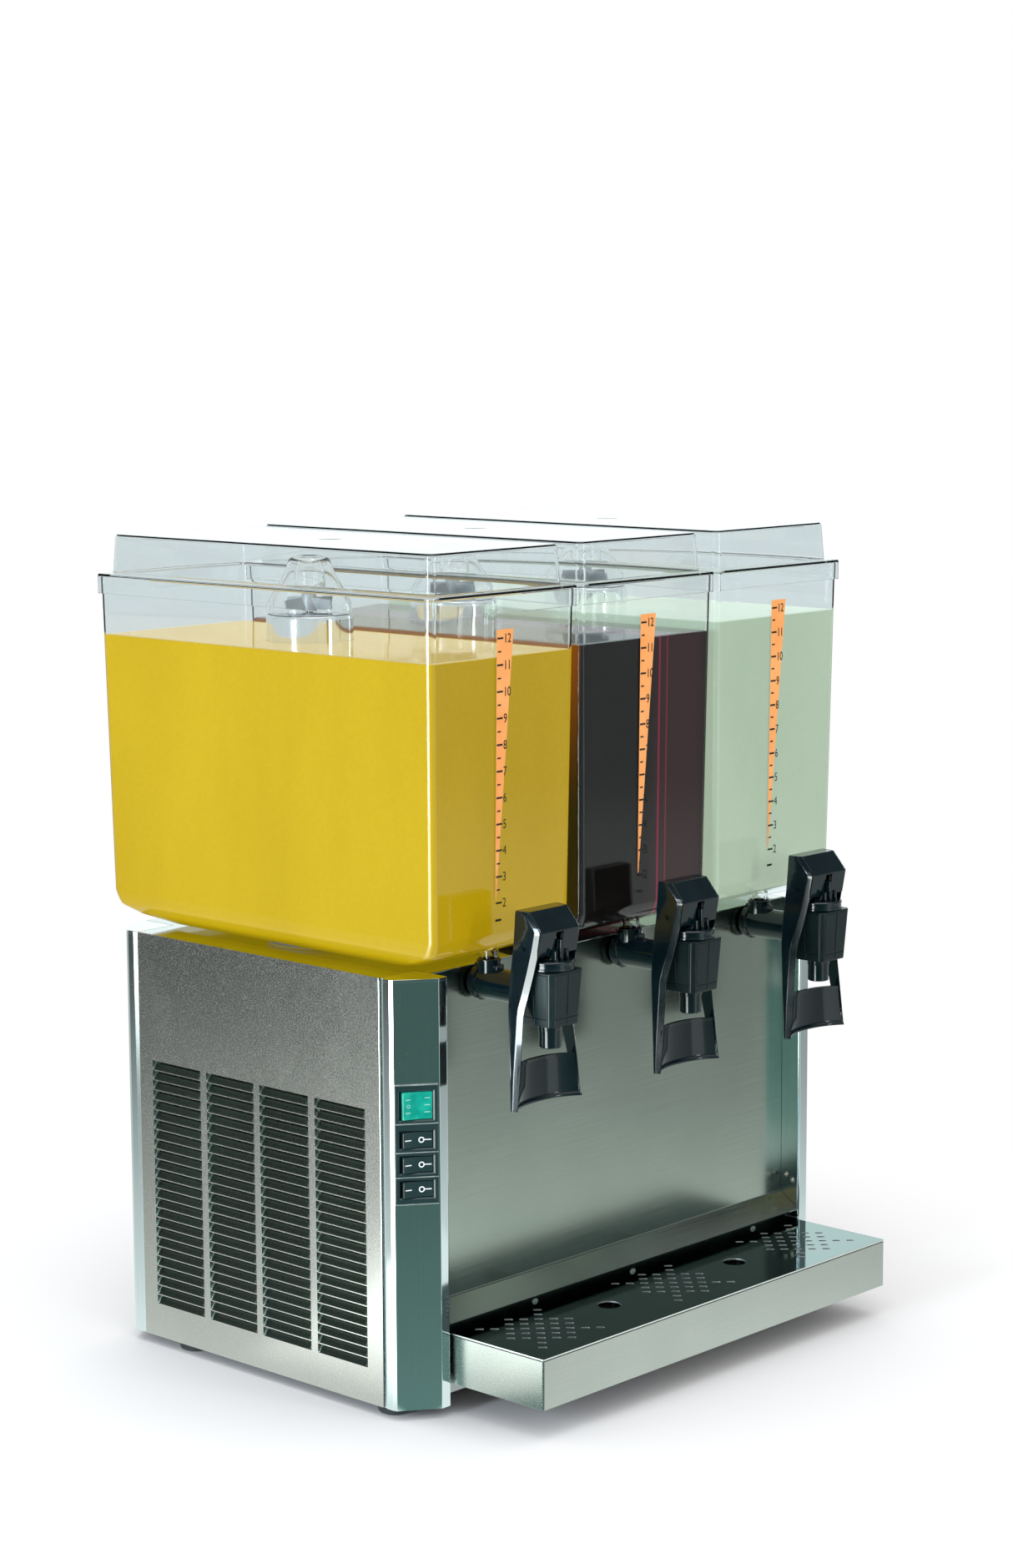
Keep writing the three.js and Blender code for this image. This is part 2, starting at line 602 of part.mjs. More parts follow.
// Screwed bonnet with the lever's pivot ears and a guide rib at the front.
function bonnetGeometry() {
  const disc = rod(0, TAP_Y, VALVE_TOP + GAP, BONNET_TOP, VALVE_HALF + 0.5, 28);
  const rib = block([-1.6, -92.8, BONNET_TOP - 2], [1.6, -88.4, BONNET_TOP + 16.5]);
  const earOutline = [
    [PIVOT_Y - 6, BONNET_TOP - 2], [PIVOT_Y + 6, BONNET_TOP - 2],
    [PIVOT_Y + 5, PIVOT_Z + 5, 4], [PIVOT_Y - 5, PIVOT_Z + 5, 4],
  ];
  const ears = [[-17, -13.4], [13.4, 17]].map(([left, right]) => extrudeAlongX(earOutline, left, right));
  const pinHole = rodAlongX(PIVOT_Y, PIVOT_Z, -20, 20, PIN_RADIUS + GAP);
  const stemHole = rod(0, TAP_Y, VALVE_TOP - 5, BONNET_TOP + 5, 3.6, 16);
  return cut(join(disc, rib, ...ears), pinHole, stemHole);
}

// Valve stem with its sealing head below and a knob above.
function plungerProfile() {
  const seat = VALVE_BOTTOM + 5 + GAP;
  return [[0, seat], [10, seat], [10, seat + 4], [3, seat + 7], [3, PIVOT_Z + 4],
    [5, PIVOT_Z + 5], [5, PIVOT_Z + 9], [0, PIVOT_Z + 9]];
}

// One side arm: narrow upright sections from the head down, splaying outwards.
// Each section is [height, front, back, outer face from the middle].
const ARM_SECTIONS = [
  [253, -79, -73, 39.3], [282, -78.5, -69, 35.5], [310, -77.6, -65, 32], [330, -77, -62, 29.3],
  [345, -80.5, -61, 27], [360, -84, -61.3, 25.4], [378, -88, -62.8, LEVER_HALF],
  [392.5, -91, -63.9, LEVER_HALF], [407.5, -78, -64.8, LEVER_HALF],
];

function armGeometry(side) {
  const rings = ARM_SECTIONS.map(([, front, back, outer]) => {
    const near = side > 0 ? outer - LEVER_WALL : -outer;
    const far = near + LEVER_WALL;
    return [[near, front], [far, front], [far, back], [near, back]];
  });
  return stackOfRings(rings, ARM_SECTIONS.map(([height]) => height));
}

// Curved push plate between the arms, wider at its foot to follow their splay.
function pushPlateGeometry() {
  const [bottom, top] = [253, 288];
  const [halfBottom, halfTop] = [37.6, 33.6];
  const sag = 12;
  const thickness = 2.4;
  const steps = 8;
  const ringAt = (half) => {
    const front = [];
    const back = [];
    for (let i = 0; i <= steps; i += 1) {
      const t = -1 + (2 * i) / steps;
      const bow = sag * (1 - t * t);
      front.push([half * t, -77.5 + bow]);
      back.push([half * t, -77.5 + thickness + bow]);
    }
    return [...front, ...back.reverse()];
  };
  const plate = stackOfSlices(ringAt(halfBottom), ringAt(halfTop), bottom, top);
  const footLip = stackOfSlices(ringAt(halfBottom), ringAt(halfBottom), bottom, bottom + 2);
  return join(plate, footLip.translate(0, -1.6, 0));
}

// Solid between two matching outlines, which may be concave.
function stackOfSlices(lower, upper, bottom, top) {
  const shape = new THREE.Shape(lower.map(([x, y]) => new THREE.Vector2(x, y)));
  const geometry = extrude(shape, bottom, top);
  const position = geometry.attributes.position;
  const ratio = upper[0][0] / lower[0][0];
  for (let i = 0; i < position.count; i += 1) {
    const upperLevel = position.getZ(i) > (bottom + top) / 2;
    if (upperLevel) position.setX(i, position.getX(i) * ratio);
  }
  return geometry;
}

function leverGeometry() {
  const half = LEVER_HALF - 0.5;
  const headOutline = [
    [-88, 373], [-91, 392.5], [-78, 407.5], [-64.8, 407.5], [-64.8, 407.5 - LEVER_WALL],
    [-76.8, 407.5 - LEVER_WALL], [-88.2, 391.7], [-85.2, 373],
  ];
  const head = extrudeAlongX(headOutline, -half, half);
  const notch = block([-3.6, -95, 370], [3.6, -82, 391]);
  const pins = [[-LEVER_HALF, -12.6], [12.6, LEVER_HALF]]
    .map(([left, right]) => rodAlongX(PIVOT_Y, PIVOT_Z, left, right, PIN_RADIUS));
  return cut(join(armGeometry(-1), armGeometry(1), head, pushPlateGeometry(), ...pins), notch);
}

function buildStations() {
  const sides = ['left', 'centre', 'right'];
  const pieces = [
    ['bowl', bowlGeometry(), FINISH.clear, 0],
    ['lid', lidGeometry(), FINISH.clear, 0],
    ['bowl_seal', turned(sealProfile(), 24), FINISH.silicone, COOLER_Y],
    ['evaporator', turned(coolerProfile(), 24), FINISH.bright, COOLER_Y],
    ['pump_cover', pumpCoverGeometry(), FINISH.clear, COOLER_Y],
    ['impeller', impellerGeometry(), FINISH.white, COOLER_Y],
    ['stirrer_motor', turned(motorProfile(), 16), FINISH.black, COOLER_Y],
    ['tap_body', tapBodyGeometry(), FINISH.tap, 0],
    ['tap_bonnet', bonnetGeometry(), FINISH.tap, 0],
    ['tap_plunger', turned(plungerProfile(), 16), FINISH.white, TAP_Y],
    ['tap_lever', leverGeometry(), FINISH.tap, 0],
  ];
  sides.forEach((side, i) => {
    const station = new THREE.Group();
    station.position.x = BOWL_XS[i];
    machine.add(station);
    for (const [piece, geometry, look, y] of pieces) {
      add(station, `${side}_${piece}`, geometry, look).position.y = y;
    }
  });
}

// ---------------------------------------------------------------- drip tray
function trayCoverGeometry() {
  const rim = 0.4;
  const half = TRAY_HALF;
  const plate = block([-half, TRAY_FRONT, TRAY_RIM + GAP], [half, TRAY_BACK, TRAY_TOP]);
  const locator = TRAY_WALL + GAP + rim;
  const skirt = block([-half + locator, TRAY_FRONT + locator, TRAY_RIM - 6],
    [half - locator, TRAY_BACK - locator, TRAY_RIM + 1]);
  const skirtInside = block([-half + locator + 1.2, TRAY_FRONT + locator + 1.2, TRAY_RIM - 8],
    [half - locator - 1.2, TRAY_BACK - locator - 1.2, TRAY_RIM + GAP]);
  const openings = [];
  const diagonal = Math.PI / 4;
  for (const centre of [-SLOT_PATTERN_X, 0, SLOT_PATTERN_X]) {
    SLOT_COLUMNS.forEach((rows, column) => {
      for (let row = 0; row < rows; row += 1) {
        const along = (column - (SLOT_COLUMNS.length - 1) / 2) * SLOT_PITCH;
        const across = (row - (rows - 1) / 2) * SLOT_PITCH;
        openings.push(block([along - SLOT_LENGTH / 2, across - SLOT_WIDTH / 2, TRAY_RIM - 2],
          [along + SLOT_LENGTH / 2, across + SLOT_WIDTH / 2, TRAY_TOP + 2])
          .rotateZ(-diagonal)
          .translate(centre, SLOT_PATTERN_Y, 0));
      }
    });
  }
  for (const x of [-FINGER_HOLE_X, FINGER_HOLE_X]) {
    openings.push(rod(x, SLOT_PATTERN_Y, TRAY_RIM - 2, TRAY_TOP + 2, FINGER_HOLE_RADIUS));
  }
  return cut(join(plate, cut(skirt, skirtInside)), ...openings);
}

function buildTray() {
  const box = block([-TRAY_HALF, TRAY_FRONT, TRAY_BOTTOM], [TRAY_HALF, TRAY_BACK, TRAY_RIM]);
  const inside = block([-TRAY_HALF + TRAY_WALL, TRAY_FRONT + TRAY_WALL, TRAY_BOTTOM + TRAY_WALL],
    [TRAY_HALF - TRAY_WALL, TRAY_BACK - TRAY_WALL, TRAY_RIM + 5]);
  add(machine, 'drip_tray', cut(box, inside), FINISH.bright);
  add(machine, 'drip_tray_cover', trayCoverGeometry(), FINISH.bright);

  const armTop = TRAY_BOTTOM - GAP;
  const arms = [-171, 171].map((x) => block([x - 9, -104, armTop - 5], [x + 9, 1, armTop]));
  const crossBar = block([-190, -6, armTop - 12], [190, 0.9, armTop]);
  add(machine, 'tray_bracket', join(crossBar, ...arms), FINISH.galvanised);
}

// ---------------------------------------------------------------- refrigeration and power
function buildMachinery() {
  const floor = BODY_BOTTOM + SHEET + GAP;
  const pot = turned([[0, floor], [52, floor], [52, floor + 4], [68, floor + 12], [72, floor + 60],
    [70, floor + 110], [52, floor + 138], [0, floor + 146]], 24);
  const compressor = add(machine, 'compressor', pot, FINISH.enamel);
  compressor.position.set(COMPRESSOR_X, COMPRESSOR_Y, 0);

  const [finBack, finFace] = CONDENSER_X;
  const [coreFront, coreRear] = CONDENSER_Y;
  const [coreBottom, coreTop] = CONDENSER_Z;
  const core = block([finBack, coreFront, coreBottom], [finFace, coreRear, coreTop]);
  const finGaps = [];
  for (let i = 0; i < FIN_GAPS; i += 1) {
    const y = coreFront + 12 + i * FIN_GAP_PITCH;
    finGaps.push(block([finBack - 10, y, coreBottom + 13],
      [finFace - 7, y + FIN_GAP_WIDTH, coreTop - 13]));
  }
  const stand = block([finBack, coreFront, floor], [finFace, coreRear, coreBottom + 1]);
  add(machine, 'condenser', cut(join(core, stand), ...finGaps), FINISH.condenser);

  const hub = rodAlongX(0, 0, -9, 9, 16, 16);
  const blades = [];
  for (let i = 0; i < FAN_BLADES; i += 1) {
    const blade = block([-1, -16, 12], [1, 16, FAN_RADIUS]);
    blades.push(blade.rotateZ(0.45).rotateX((i * Math.PI * 2) / FAN_BLADES));
  }
  const shaftHole = rodAlongX(0, 0, 3, 12, 3.4, 12);
  const fan = add(machine, 'condenser_fan', cut(join(hub, ...blades), shaftHole), FINISH.black);
  fan.position.set(FAN_X, FAN_Y, FAN_Z);

  const motorCan = rodAlongX(FAN_Y, FAN_Z, FAN_X + 10, FAN_X + 58, FAN_MOTOR_RADIUS, 20);
  const shaft = rodAlongX(FAN_Y, FAN_Z, FAN_X + 4, FAN_X + 12, 3, 12);
  const strut = block([FAN_X + 46, FAN_Y - 14, floor], [FAN_X + 54, FAN_Y + 14, FAN_Z]);
  const foot = block([FAN_X + 30, FAN_Y - 30, floor], [FAN_X + 70, FAN_Y + 30, floor + 3]);
  add(machine, 'fan_motor', join(motorCan, shaft, strut, foot), FINISH.galvanised);

  add(machine, 'power_inlet', inletGeometry(), FINISH.black);
}

// Mains inlet: a flanged socket behind the rear panel, with three flat pins.
function inletGeometry() {
  const outerX = INLET_HALF_X + INLET_WALL;
  const outerZ = INLET_HALF_Z + INLET_WALL + 0.3;
  const flange = block([INLET_X - outerX - 3.3, BODY_BACK + GAP, INLET_Z - outerZ - 3],
    [INLET_X + outerX + 3.3, BODY_BACK + 2.6, INLET_Z + outerZ + 3]);
  const shell = block([INLET_X - outerX, BODY_BACK - 26, INLET_Z - outerZ],
    [INLET_X + outerX, BODY_BACK + 1, INLET_Z + outerZ]);
  const cavity = block([INLET_X - INLET_HALF_X, BODY_BACK - 16, INLET_Z - INLET_HALF_Z],
    [INLET_X + INLET_HALF_X, BODY_BACK + 5, INLET_Z + INLET_HALF_Z]);
  const pins = [-1, 0, 1].map((place) => {
    const x = INLET_X + place * INLET_PIN_PITCH;
    return block([x - 1, BODY_BACK - 18, INLET_Z - 2], [x + 1, BODY_BACK, INLET_Z + 2]);
  });
  return join(cut(join(flange, shell), cavity), ...pins);
}

// ---------------------------------------------------------------- assembly
const chamfer = chamferFrame();
buildCabinet();
buildPosts(chamfer);
buildFeet();
buildSwitches(chamfer);
buildStations();
buildTray();
buildMachinery();

export default machine;
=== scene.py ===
"""Three-bowl refrigerated drink dispenser: the looks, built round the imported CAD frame.

Lengths in this file are millimetres in the CAD's own layout: x = 0 is the middle of the cabinet,
y = 0 is the face of the front panel, z = 0 is the floor. place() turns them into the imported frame, in metres.
"""
import math

import bmesh
import bpy
from mathutils import Matrix, Vector


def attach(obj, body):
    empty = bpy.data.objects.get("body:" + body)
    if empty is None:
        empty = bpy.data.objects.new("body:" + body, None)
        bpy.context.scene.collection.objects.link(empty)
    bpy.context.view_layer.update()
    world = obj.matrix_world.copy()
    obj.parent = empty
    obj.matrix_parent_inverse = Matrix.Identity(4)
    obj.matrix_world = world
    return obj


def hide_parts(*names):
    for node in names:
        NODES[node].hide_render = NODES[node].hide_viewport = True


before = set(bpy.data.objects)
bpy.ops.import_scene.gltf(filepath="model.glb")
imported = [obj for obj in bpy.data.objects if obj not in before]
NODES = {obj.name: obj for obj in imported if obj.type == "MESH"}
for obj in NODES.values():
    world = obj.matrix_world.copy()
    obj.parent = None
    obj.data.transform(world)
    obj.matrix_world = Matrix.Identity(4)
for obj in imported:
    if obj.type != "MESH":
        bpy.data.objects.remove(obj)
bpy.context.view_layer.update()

DEPTH_CENTRE = 119.0  # the layout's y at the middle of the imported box
SIDES = (("left", -170), ("centre", 0), ("right", 170))
DRINK_LEVELS = {"left": 599.7, "centre": 601.6, "right": 607.4}
BOWL_Y = 159.0
BOWL_HALF_X, BOWL_HALF_Y = 82.2, 193.1
BOWL_RIM, BOWL_BEND, BOWL_BOTTOM = 648, 384, 357.0
BOWL_WALL = 2.6
DRAFT = math.tan(math.radians(0.9))
COOLER_Y = 183.0
TAP_Y = -79.5
PIVOT_Y, PIVOT_Z = -75.5, 379.0  # the axis of a lever
NECK_Y = -15.0  # the axis of a bowl's neck
TUBE_Z = 340.5  # the axis of an outlet tube
HALF_WIDTH, BODY_BACK = 262, 338.0


def place(p):
    return Vector((p[0] / 1000, (p[1] - DEPTH_CENTRE) / 1000, p[2] / 1000))


# ------------------------------------------------------------------ mesh helpers
MADE = []  # every object whose shading is settled at the end


def new_object(name, data):
    obj = bpy.data.objects.new(name, data)
    bpy.context.scene.collection.objects.link(obj)
    return obj


def assign(obj, body, replaces=()):
    """Gives an object its body and the CAD nodes that it stands for."""
    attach(obj, body)
    if replaces:
        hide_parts(*replaces)
    return obj


def make(name, parts, material, body, replaces=(), smooth=32, bevel=0, segments=2):
    """One object from closed (verts, faces) parts, in millimetres, riding on a body."""
    verts, faces = [], []
    for v, f in parts:
        start = len(verts)
        verts.extend(place(p) for p in v)
        faces.extend(tuple(i + start for i in face) for face in f)
    mesh = bpy.data.meshes.new(name)
    mesh.from_pydata(verts, [], faces)
    obj = new_object(name, mesh)
    tidy_normals(obj, smooth)
    mesh.materials.append(material)
    if bevel:
        add_bevel(obj, bevel, segments)
    MADE.append(obj)
    return assign(obj, body, replaces)


def settle_shading():
    """Keeps broad faces flat, so that only the small faces of a rounding carry its curve."""
    for obj in MADE:
        m = obj.modifiers.new("shading", "WEIGHTED_NORMAL")
        m.keep_sharp = True
        m.weight = 60


def tidy_normals(obj, smooth):
    bm = bmesh.new()
    bm.from_mesh(obj.data)
    bmesh.ops.remove_doubles(bm, verts=bm.verts, dist=2e-6)
    bmesh.ops.recalc_face_normals(bm, faces=bm.faces)
    limit = math.radians(smooth)
    for edge in bm.edges:
        edge.smooth = len(edge.link_faces) == 2 and edge.calc_face_angle(0) < limit
    for face in bm.faces:
        face.smooth = True
    bm.to_mesh(obj.data)
    bm.free()


def add_bevel(obj, width, segments=2):
    m = obj.modifiers.new("edges", "BEVEL")
    m.width = width / 1000
    m.segments = segments
    m.limit_method = "ANGLE"
    m.angle_limit = math.radians(32)
    m.harden_normals = True


def bake_modifiers(obj):
    graph = bpy.context.evaluated_depsgraph_get()
    mesh = bpy.data.meshes.new_from_object(obj.evaluated_get(graph))
    obj.modifiers.clear()
    obj.data = mesh


def carve(obj, parts, smooth=32):
    """Cuts closed parts out of an object."""
    for v, f in parts:
        mesh = bpy.data.meshes.new("cutter")
        mesh.from_pydata([place(p) for p in v], [], f)
        cutter = new_object("cutter", mesh)
        tidy_normals(cutter, smooth)
        m = obj.modifiers.new("cut", "BOOLEAN")
        m.operation, m.solver, m.object = "DIFFERENCE", "EXACT", cutter
        bpy.context.view_layer.update()
        bake_modifiers(obj)
        bpy.data.objects.remove(cutter)
    tidy_normals(obj, smooth)


def flatten(curve):
    """The mesh of a curve or of a text, without materials."""
    loose = new_object("loose", curve)
    bpy.context.view_layer.update()
    mesh = bpy.data.meshes.new_from_object(loose.evaluated_get(bpy.context.evaluated_depsgraph_get()))
    bpy.data.objects.remove(loose)
    mesh.materials.clear()
    return mesh


def turned(x, y, angle):
    c, s = math.cos(angle), math.sin(angle)
    return x * c - y * s, x * s + y * c


def half_round(cx, cy, rx, ry, start=0):
    """Nine points round half an ellipse."""
    angles = [start + i * math.pi / 8 for i in range(9)]
    return [(cx + rx * math.cos(a), cy + ry * math.sin(a)) for a in angles]


def wrap(n):
    """Faces of a solid between two outlines of n points."""
    return [tuple(range(n)), tuple(range(2 * n - 1, n - 1, -1))] + [(i, (i + 1) % n, n + (i + 1) % n,
        n + i) for i in range(n)]


def loft(rings, closed=False):
    n = len(rings[0])
    verts = [p for ring in rings for p in ring]
    faces = []
    last = len(rings) if closed else len(rings) - 1
    for k in range(last):
        a0, b0 = k * n, ((k + 1) % len(rings)) * n
        for i in range(n):
            j = (i + 1) % n
            faces.append((a0 + i, a0 + j, b0 + j, b0 + i))
    if not closed:
        faces.append(tuple(reversed(range(n))))
        faces.append(tuple(range((len(rings) - 1) * n, len(rings) * n)))
    return verts, faces


def round_rect(cx, cy, z, half_x, half_y, radius, steps=6):
    ring = []
    for corner in range(4):
        sx = 1 if corner in (0, 3) else -1
        sy = 1 if corner < 2 else -1
        for step in range(steps + 1):
            a = (corner + step / steps) * math.pi / 2
            ring.append((cx + sx * (half_x - radius) + radius * math.cos(a),
                cy + sy * (half_y - radius) + radius * math.sin(a), z))
    return ring


def lathe(profile, x=0, y=0, z=0, segments=48, axis="z"):
    """Turned solid from (radius, height) pairs that begin and end on the axis, or close on themselves."""
    closed = profile[0][0] > 0
    pts = profile[:-1] if closed and profile[0] == profile[-1] else profile
    verts, index = [], []
    for r, h in pts:
        if r <= 1e-6:
            index.append([len(verts)] * segments)
            verts.append((0, 0, h))
        else:
            index.append([len(verts) + i for i in range(segments)])
            for i in range(segments):
                a = 2 * math.pi * i / segments
                verts.append((r * math.cos(a), r * math.sin(a), h))
    faces = []
    count = len(pts) if closed else len(pts) - 1
    for k in range(count):
        lower, upper = index[k], index[(k + 1) % len(pts)]
        for i in range(segments):
            j = (i + 1) % segments
            face = [lower[i], lower[j], upper[j], upper[i]]
            face = [v for n, v in enumerate(face) if v not in face[:n]]
            if len(face) > 2:
                faces.append(tuple(face))
    turn = {"z": lambda p: p, "y": lambda p: (p[0], p[2], p[1]), "x": lambda p: (p[2], p[0], p[1])}[axis]
    return [tuple(a + b for a, b in zip(turn(p), (x, y, z))) for p in verts], faces


def slab(lo, hi):
    v = [(x, y, z) for x in (lo[0], hi[0]) for y in (lo[1], hi[1]) for z in (lo[2], hi[2])]
    return v, [(0, 1, 3, 2), (4, 6, 7, 5), (0, 4, 5, 1), (2, 3, 7, 6), (0, 2, 6, 4), (1, 5, 7, 3)]


def prism(outline, lo, hi, axis="x"):
    """Extrudes a 2D outline. axis x: outline is (y, z); y: (x, z); z: (x, y)."""
    put = {"x": lambda p, t: (t, p[0], p[1]), "y": lambda p, t: (p[0], t, p[1]),
        "z": lambda p, t: (p[0], p[1], t)}[axis]
    return [put(p, t) for t in (lo, hi) for p in outline], wrap(len(outline))


def rounded_path(points, radius, steps=6):
    """Open polyline in 2D with its inner corners rounded. A point may carry its own radius."""
    out = [tuple(points[0][:2])]
    for i in range(1, len(points) - 1):
        p, r = Vector(points[i][:2]), points[i][2] if len(points[i]) > 2 else radius
        a, b = Vector(points[i - 1][:2]) - p, Vector(points[i + 1][:2]) - p
        angle = a.angle(b)
        cut = min(r / math.tan(angle / 2), a.length * 0.49, b.length * 0.49)
        start, end = p + a.normalized() * cut, p + b.normalized() * cut
        for s in range(steps + 1):
            t = s / steps
            q = start * (1 - t) ** 2 + p * 2 * t * (1 - t) + end * t ** 2
            out.append((q.x, q.y))
    out.append(tuple(points[-1][:2]))
    return out


def thicken(path, thickness):
    """Closed outline of a sheet: the path, then the path moved to its left by the thickness."""
    other = []
    for i, p in enumerate(path):
        before = Vector(path[max(i - 1, 0)])
        after = Vector(path[min(i + 1, len(path) - 1)])
        here = Vector(p)
        d1 = (here - before).normalized() if i > 0 else (after - here).normalized()
        d2 = (after - here).normalized() if i < len(path) - 1 else d1
        n1, n2 = Vector((-d1.y, d1.x)), Vector((-d2.y, d2.x))
        n = (n1 + n2).normalized()
        other.append(tuple(here + n * (thickness / max(n.dot(n1), 0.3))))
    return path + other[::-1]


def grid_sheet(name, columns, rows, point, keep, thickness, material, replaces):
    """Cabinet sheet from a grid: point(u, v) gives its skin, keep(i, j) says which cells stay."""
    w = len(columns)
    corners = [(j * w + i) for j in range(len(rows) - 1) for i in range(w - 1) if keep(i, j)]
    mesh = bpy.data.meshes.new(name)
    mesh.from_pydata([place(point(u, v)) for v in rows for u in columns], [],
        [(a, a + 1, a + w + 1, a + w) for a in corners])
    bm = bmesh.new()
    bm.from_mesh(mesh)
    bmesh.ops.delete(bm, geom=[v for v in bm.verts if not v.link_faces], context="VERTS")
    bm.to_mesh(mesh)
    bm.free()
    obj = new_object(name, mesh)
    m = obj.modifiers.new("gauge", "SOLIDIFY")
    m.thickness = thickness / 1000
    m.offset = -1
    bpy.context.view_layer.update()
    bake_modifiers(obj)
    tidy_normals(obj, 32)
    obj.data.materials.append(material)
    MADE.append(obj)
    assign(obj, "cabinet", replaces)


# ------------------------------------------------------------------ material helpers
def chain(tree, operation, *values, clamp=False):
    """Math node fed by sockets or plain numbers."""
    node = tree.nodes.new("ShaderNodeMath")
    node.operation, node.use_clamp = operation, clamp
    for socket, value in zip(node.inputs, values):
        if isinstance(value, (int, float)):
            socket.default_value = value
        else:
            tree.links.new(value, socket)
    return node.outputs[0]


def ease(tree, value, start, end, low=0, high=1, kind="SMOOTHSTEP"):
    node = tree.nodes.new("ShaderNodeMapRange")
    node.interpolation_type = kind
    for key, number in (("From Min", start), ("From Max", end), ("To Min", low), ("To Max", high)):
        node.inputs[key].default_value = number
    tree.links.new(value, node.inputs["Value"])
    return node.outputs[0]


def vector_math(tree, operation, vector, other=None):
    node = tree.nodes.new("ShaderNodeVectorMath")
    node.operation = operation
    tree.links.new(vector, node.inputs[0])
    if other:
        node.inputs[1].default_value = other
    return node.outputs["Value" if operation in ("LENGTH", "DOT_PRODUCT") else "Vector"]


def towards(tree, vector, direction):
    return vector_math(tree, "DOT_PRODUCT", vector, direction)


def tones(tree, factor, a, b):
    """Mix of two colours."""
    mix = tree.nodes.new("ShaderNodeMix")
    mix.data_type = "RGBA"
    tree.links.new(factor, mix.inputs["Factor"])
    for key, colour in (("A", a), ("B", b)):
        socket = [s for s in mix.inputs if s.name == key and s.type == "RGBA"][0]
        socket.default_value = (*colour, 1)
    return [s for s in mix.outputs if s.type == "RGBA"][0]


def emission(tree, colour, strength=None):
    """Emission shader. colour is a socket or three numbers, strength a socket."""
    node = tree.nodes.new("ShaderNodeEmission")
    if isinstance(colour, tuple):
        node.inputs["Color"].default_value = (*colour, 1)
    else:
        tree.links.new(colour, node.inputs["Color"])
    if strength:
        tree.links.new(strength, node.inputs["Strength"])
    return node.outputs[0]


def join(tree, kind, *sources):
    """Mix or Add shader of its sources, in the order of its inputs."""
    node = tree.nodes.new("ShaderNode" + kind)
    for source, socket in zip(sources, node.inputs):
        tree.links.new(source, socket)
    return node.outputs[0]


class Nodes:
    """Short hand for building one material's node tree."""

    def __init__(self, name):
        self.material = bpy.data.materials.new(name)
        self.material.use_nodes = True
        self.tree = self.material.node_tree
        self.tree.nodes.clear()
        self.out = self.add("OutputMaterial").inputs["Surface"]
        self.surface = self.add("BsdfPrincipled")
        self.shader = self.surface.outputs["BSDF"]
        self.tree.links.new(self.shader, self.out)
        self.where = self.add("TexCoord").outputs["Object"]

    def add(self, kind, **values):
        node = self.tree.nodes.new("ShaderNode" + kind)
        for key, value in values.items():
            node.inputs[key].default_value = value
        return node

    def set(self, **values):
        for key, value in values.items():
            self.surface.inputs[key.replace("_", " ")].default_value = value

    def feed(self, key, source):
        self.tree.links.new(source, self.surface.inputs[key])

    def noise(self, scale, stretch=(1, 1, 1), detail=3, rough=0.55):
        mapping = self.add("Mapping", Scale=stretch)
        self.tree.links.new(self.where, mapping.inputs["Vector"])
        noise = self.add("TexNoise", Scale=scale, Detail=detail, Roughness=rough)
        self.tree.links.new(mapping.outputs["Vector"], noise.inputs["Vector"])
        return noise.outputs["Fac"]

    def spread(self, source, low, high, start=0.35, end=0.65):
        return ease(self.tree, source, start, end, low, high, "LINEAR")

    def colour(self, factor, dark, light, key="Base Color"):
        self.feed(key, tones(self.tree, factor, dark, light))

    def bump(self, source, strength, distance=0.0001):
        node = self.add("Bump", Strength=strength, Distance=distance)
        self.tree.links.new(source, node.inputs["Height"])
        self.feed("Normal", node.outputs["Normal"])


def steel(name, dark, light, rough, grain, bump):
    """Stainless sheet. grain is the stretch that draws its brushing out along one axis."""
    n = Nodes(name)
    n.set(Metallic=1)
    brushing = n.noise(1, grain, detail=4, rough=0.7)
    cloud = n.noise(9, detail=4)
    smear = n.spread(cloud, 0, 0.03, 0.5, 0.8)
    n.feed("Roughness", chain(n.tree, "ADD", n.spread(brushing, *rough, 0.25, 0.75), smear))
    patches = n.spread(cloud, 0.6, 1.4, 0.3, 0.7)
    n.colour(chain(n.tree, "MULTIPLY", brushing, patches), dark, light)
    n.bump(brushing, bump, 0.0002)
    return n.material


def plastic(name, dark, light, rough, bump, scale, coat=0, specular=0.5):
    n = Nodes(name)
    n.set(Coat_Weight=coat, Coat_Roughness=0.05, Specular_IOR_Level=specular)
    cloud = n.noise(35, detail=4)
    n.feed("Roughness", n.spread(cloud, *rough))
    n.colour(n.spread(cloud, 0, 1, 0.3, 0.7), dark, light)
    n.bump(n.noise(scale, detail=2), bump)
    return n.material


def clear(name, tint, rough, wave, through=(0.95, 0.97, 0.98)):
    """Clear moulded plastic that lets lamp light through to what it holds."""
    n = Nodes(name)
    n.set(Transmission_Weight=1, IOR=1.49)
    haze = n.noise(14, detail=5)
    n.feed("Roughness", n.spread(haze, rough, rough * 2.2))
    n.colour(n.spread(haze, 0, 1, 0.3, 0.7), tint, tuple(min(1, c * 1.03) for c in tint))
    n.bump(haze, wave, 0.0006)
    shadow = n.add("LightPath").outputs["Is Shadow Ray"]
    see = n.add("BsdfTransparent", Color=(*through, 1)).outputs["BSDF"]
    n.tree.links.new(join(n.tree, "MixShader", shadow, n.shader, see), n.out)
    return n.material


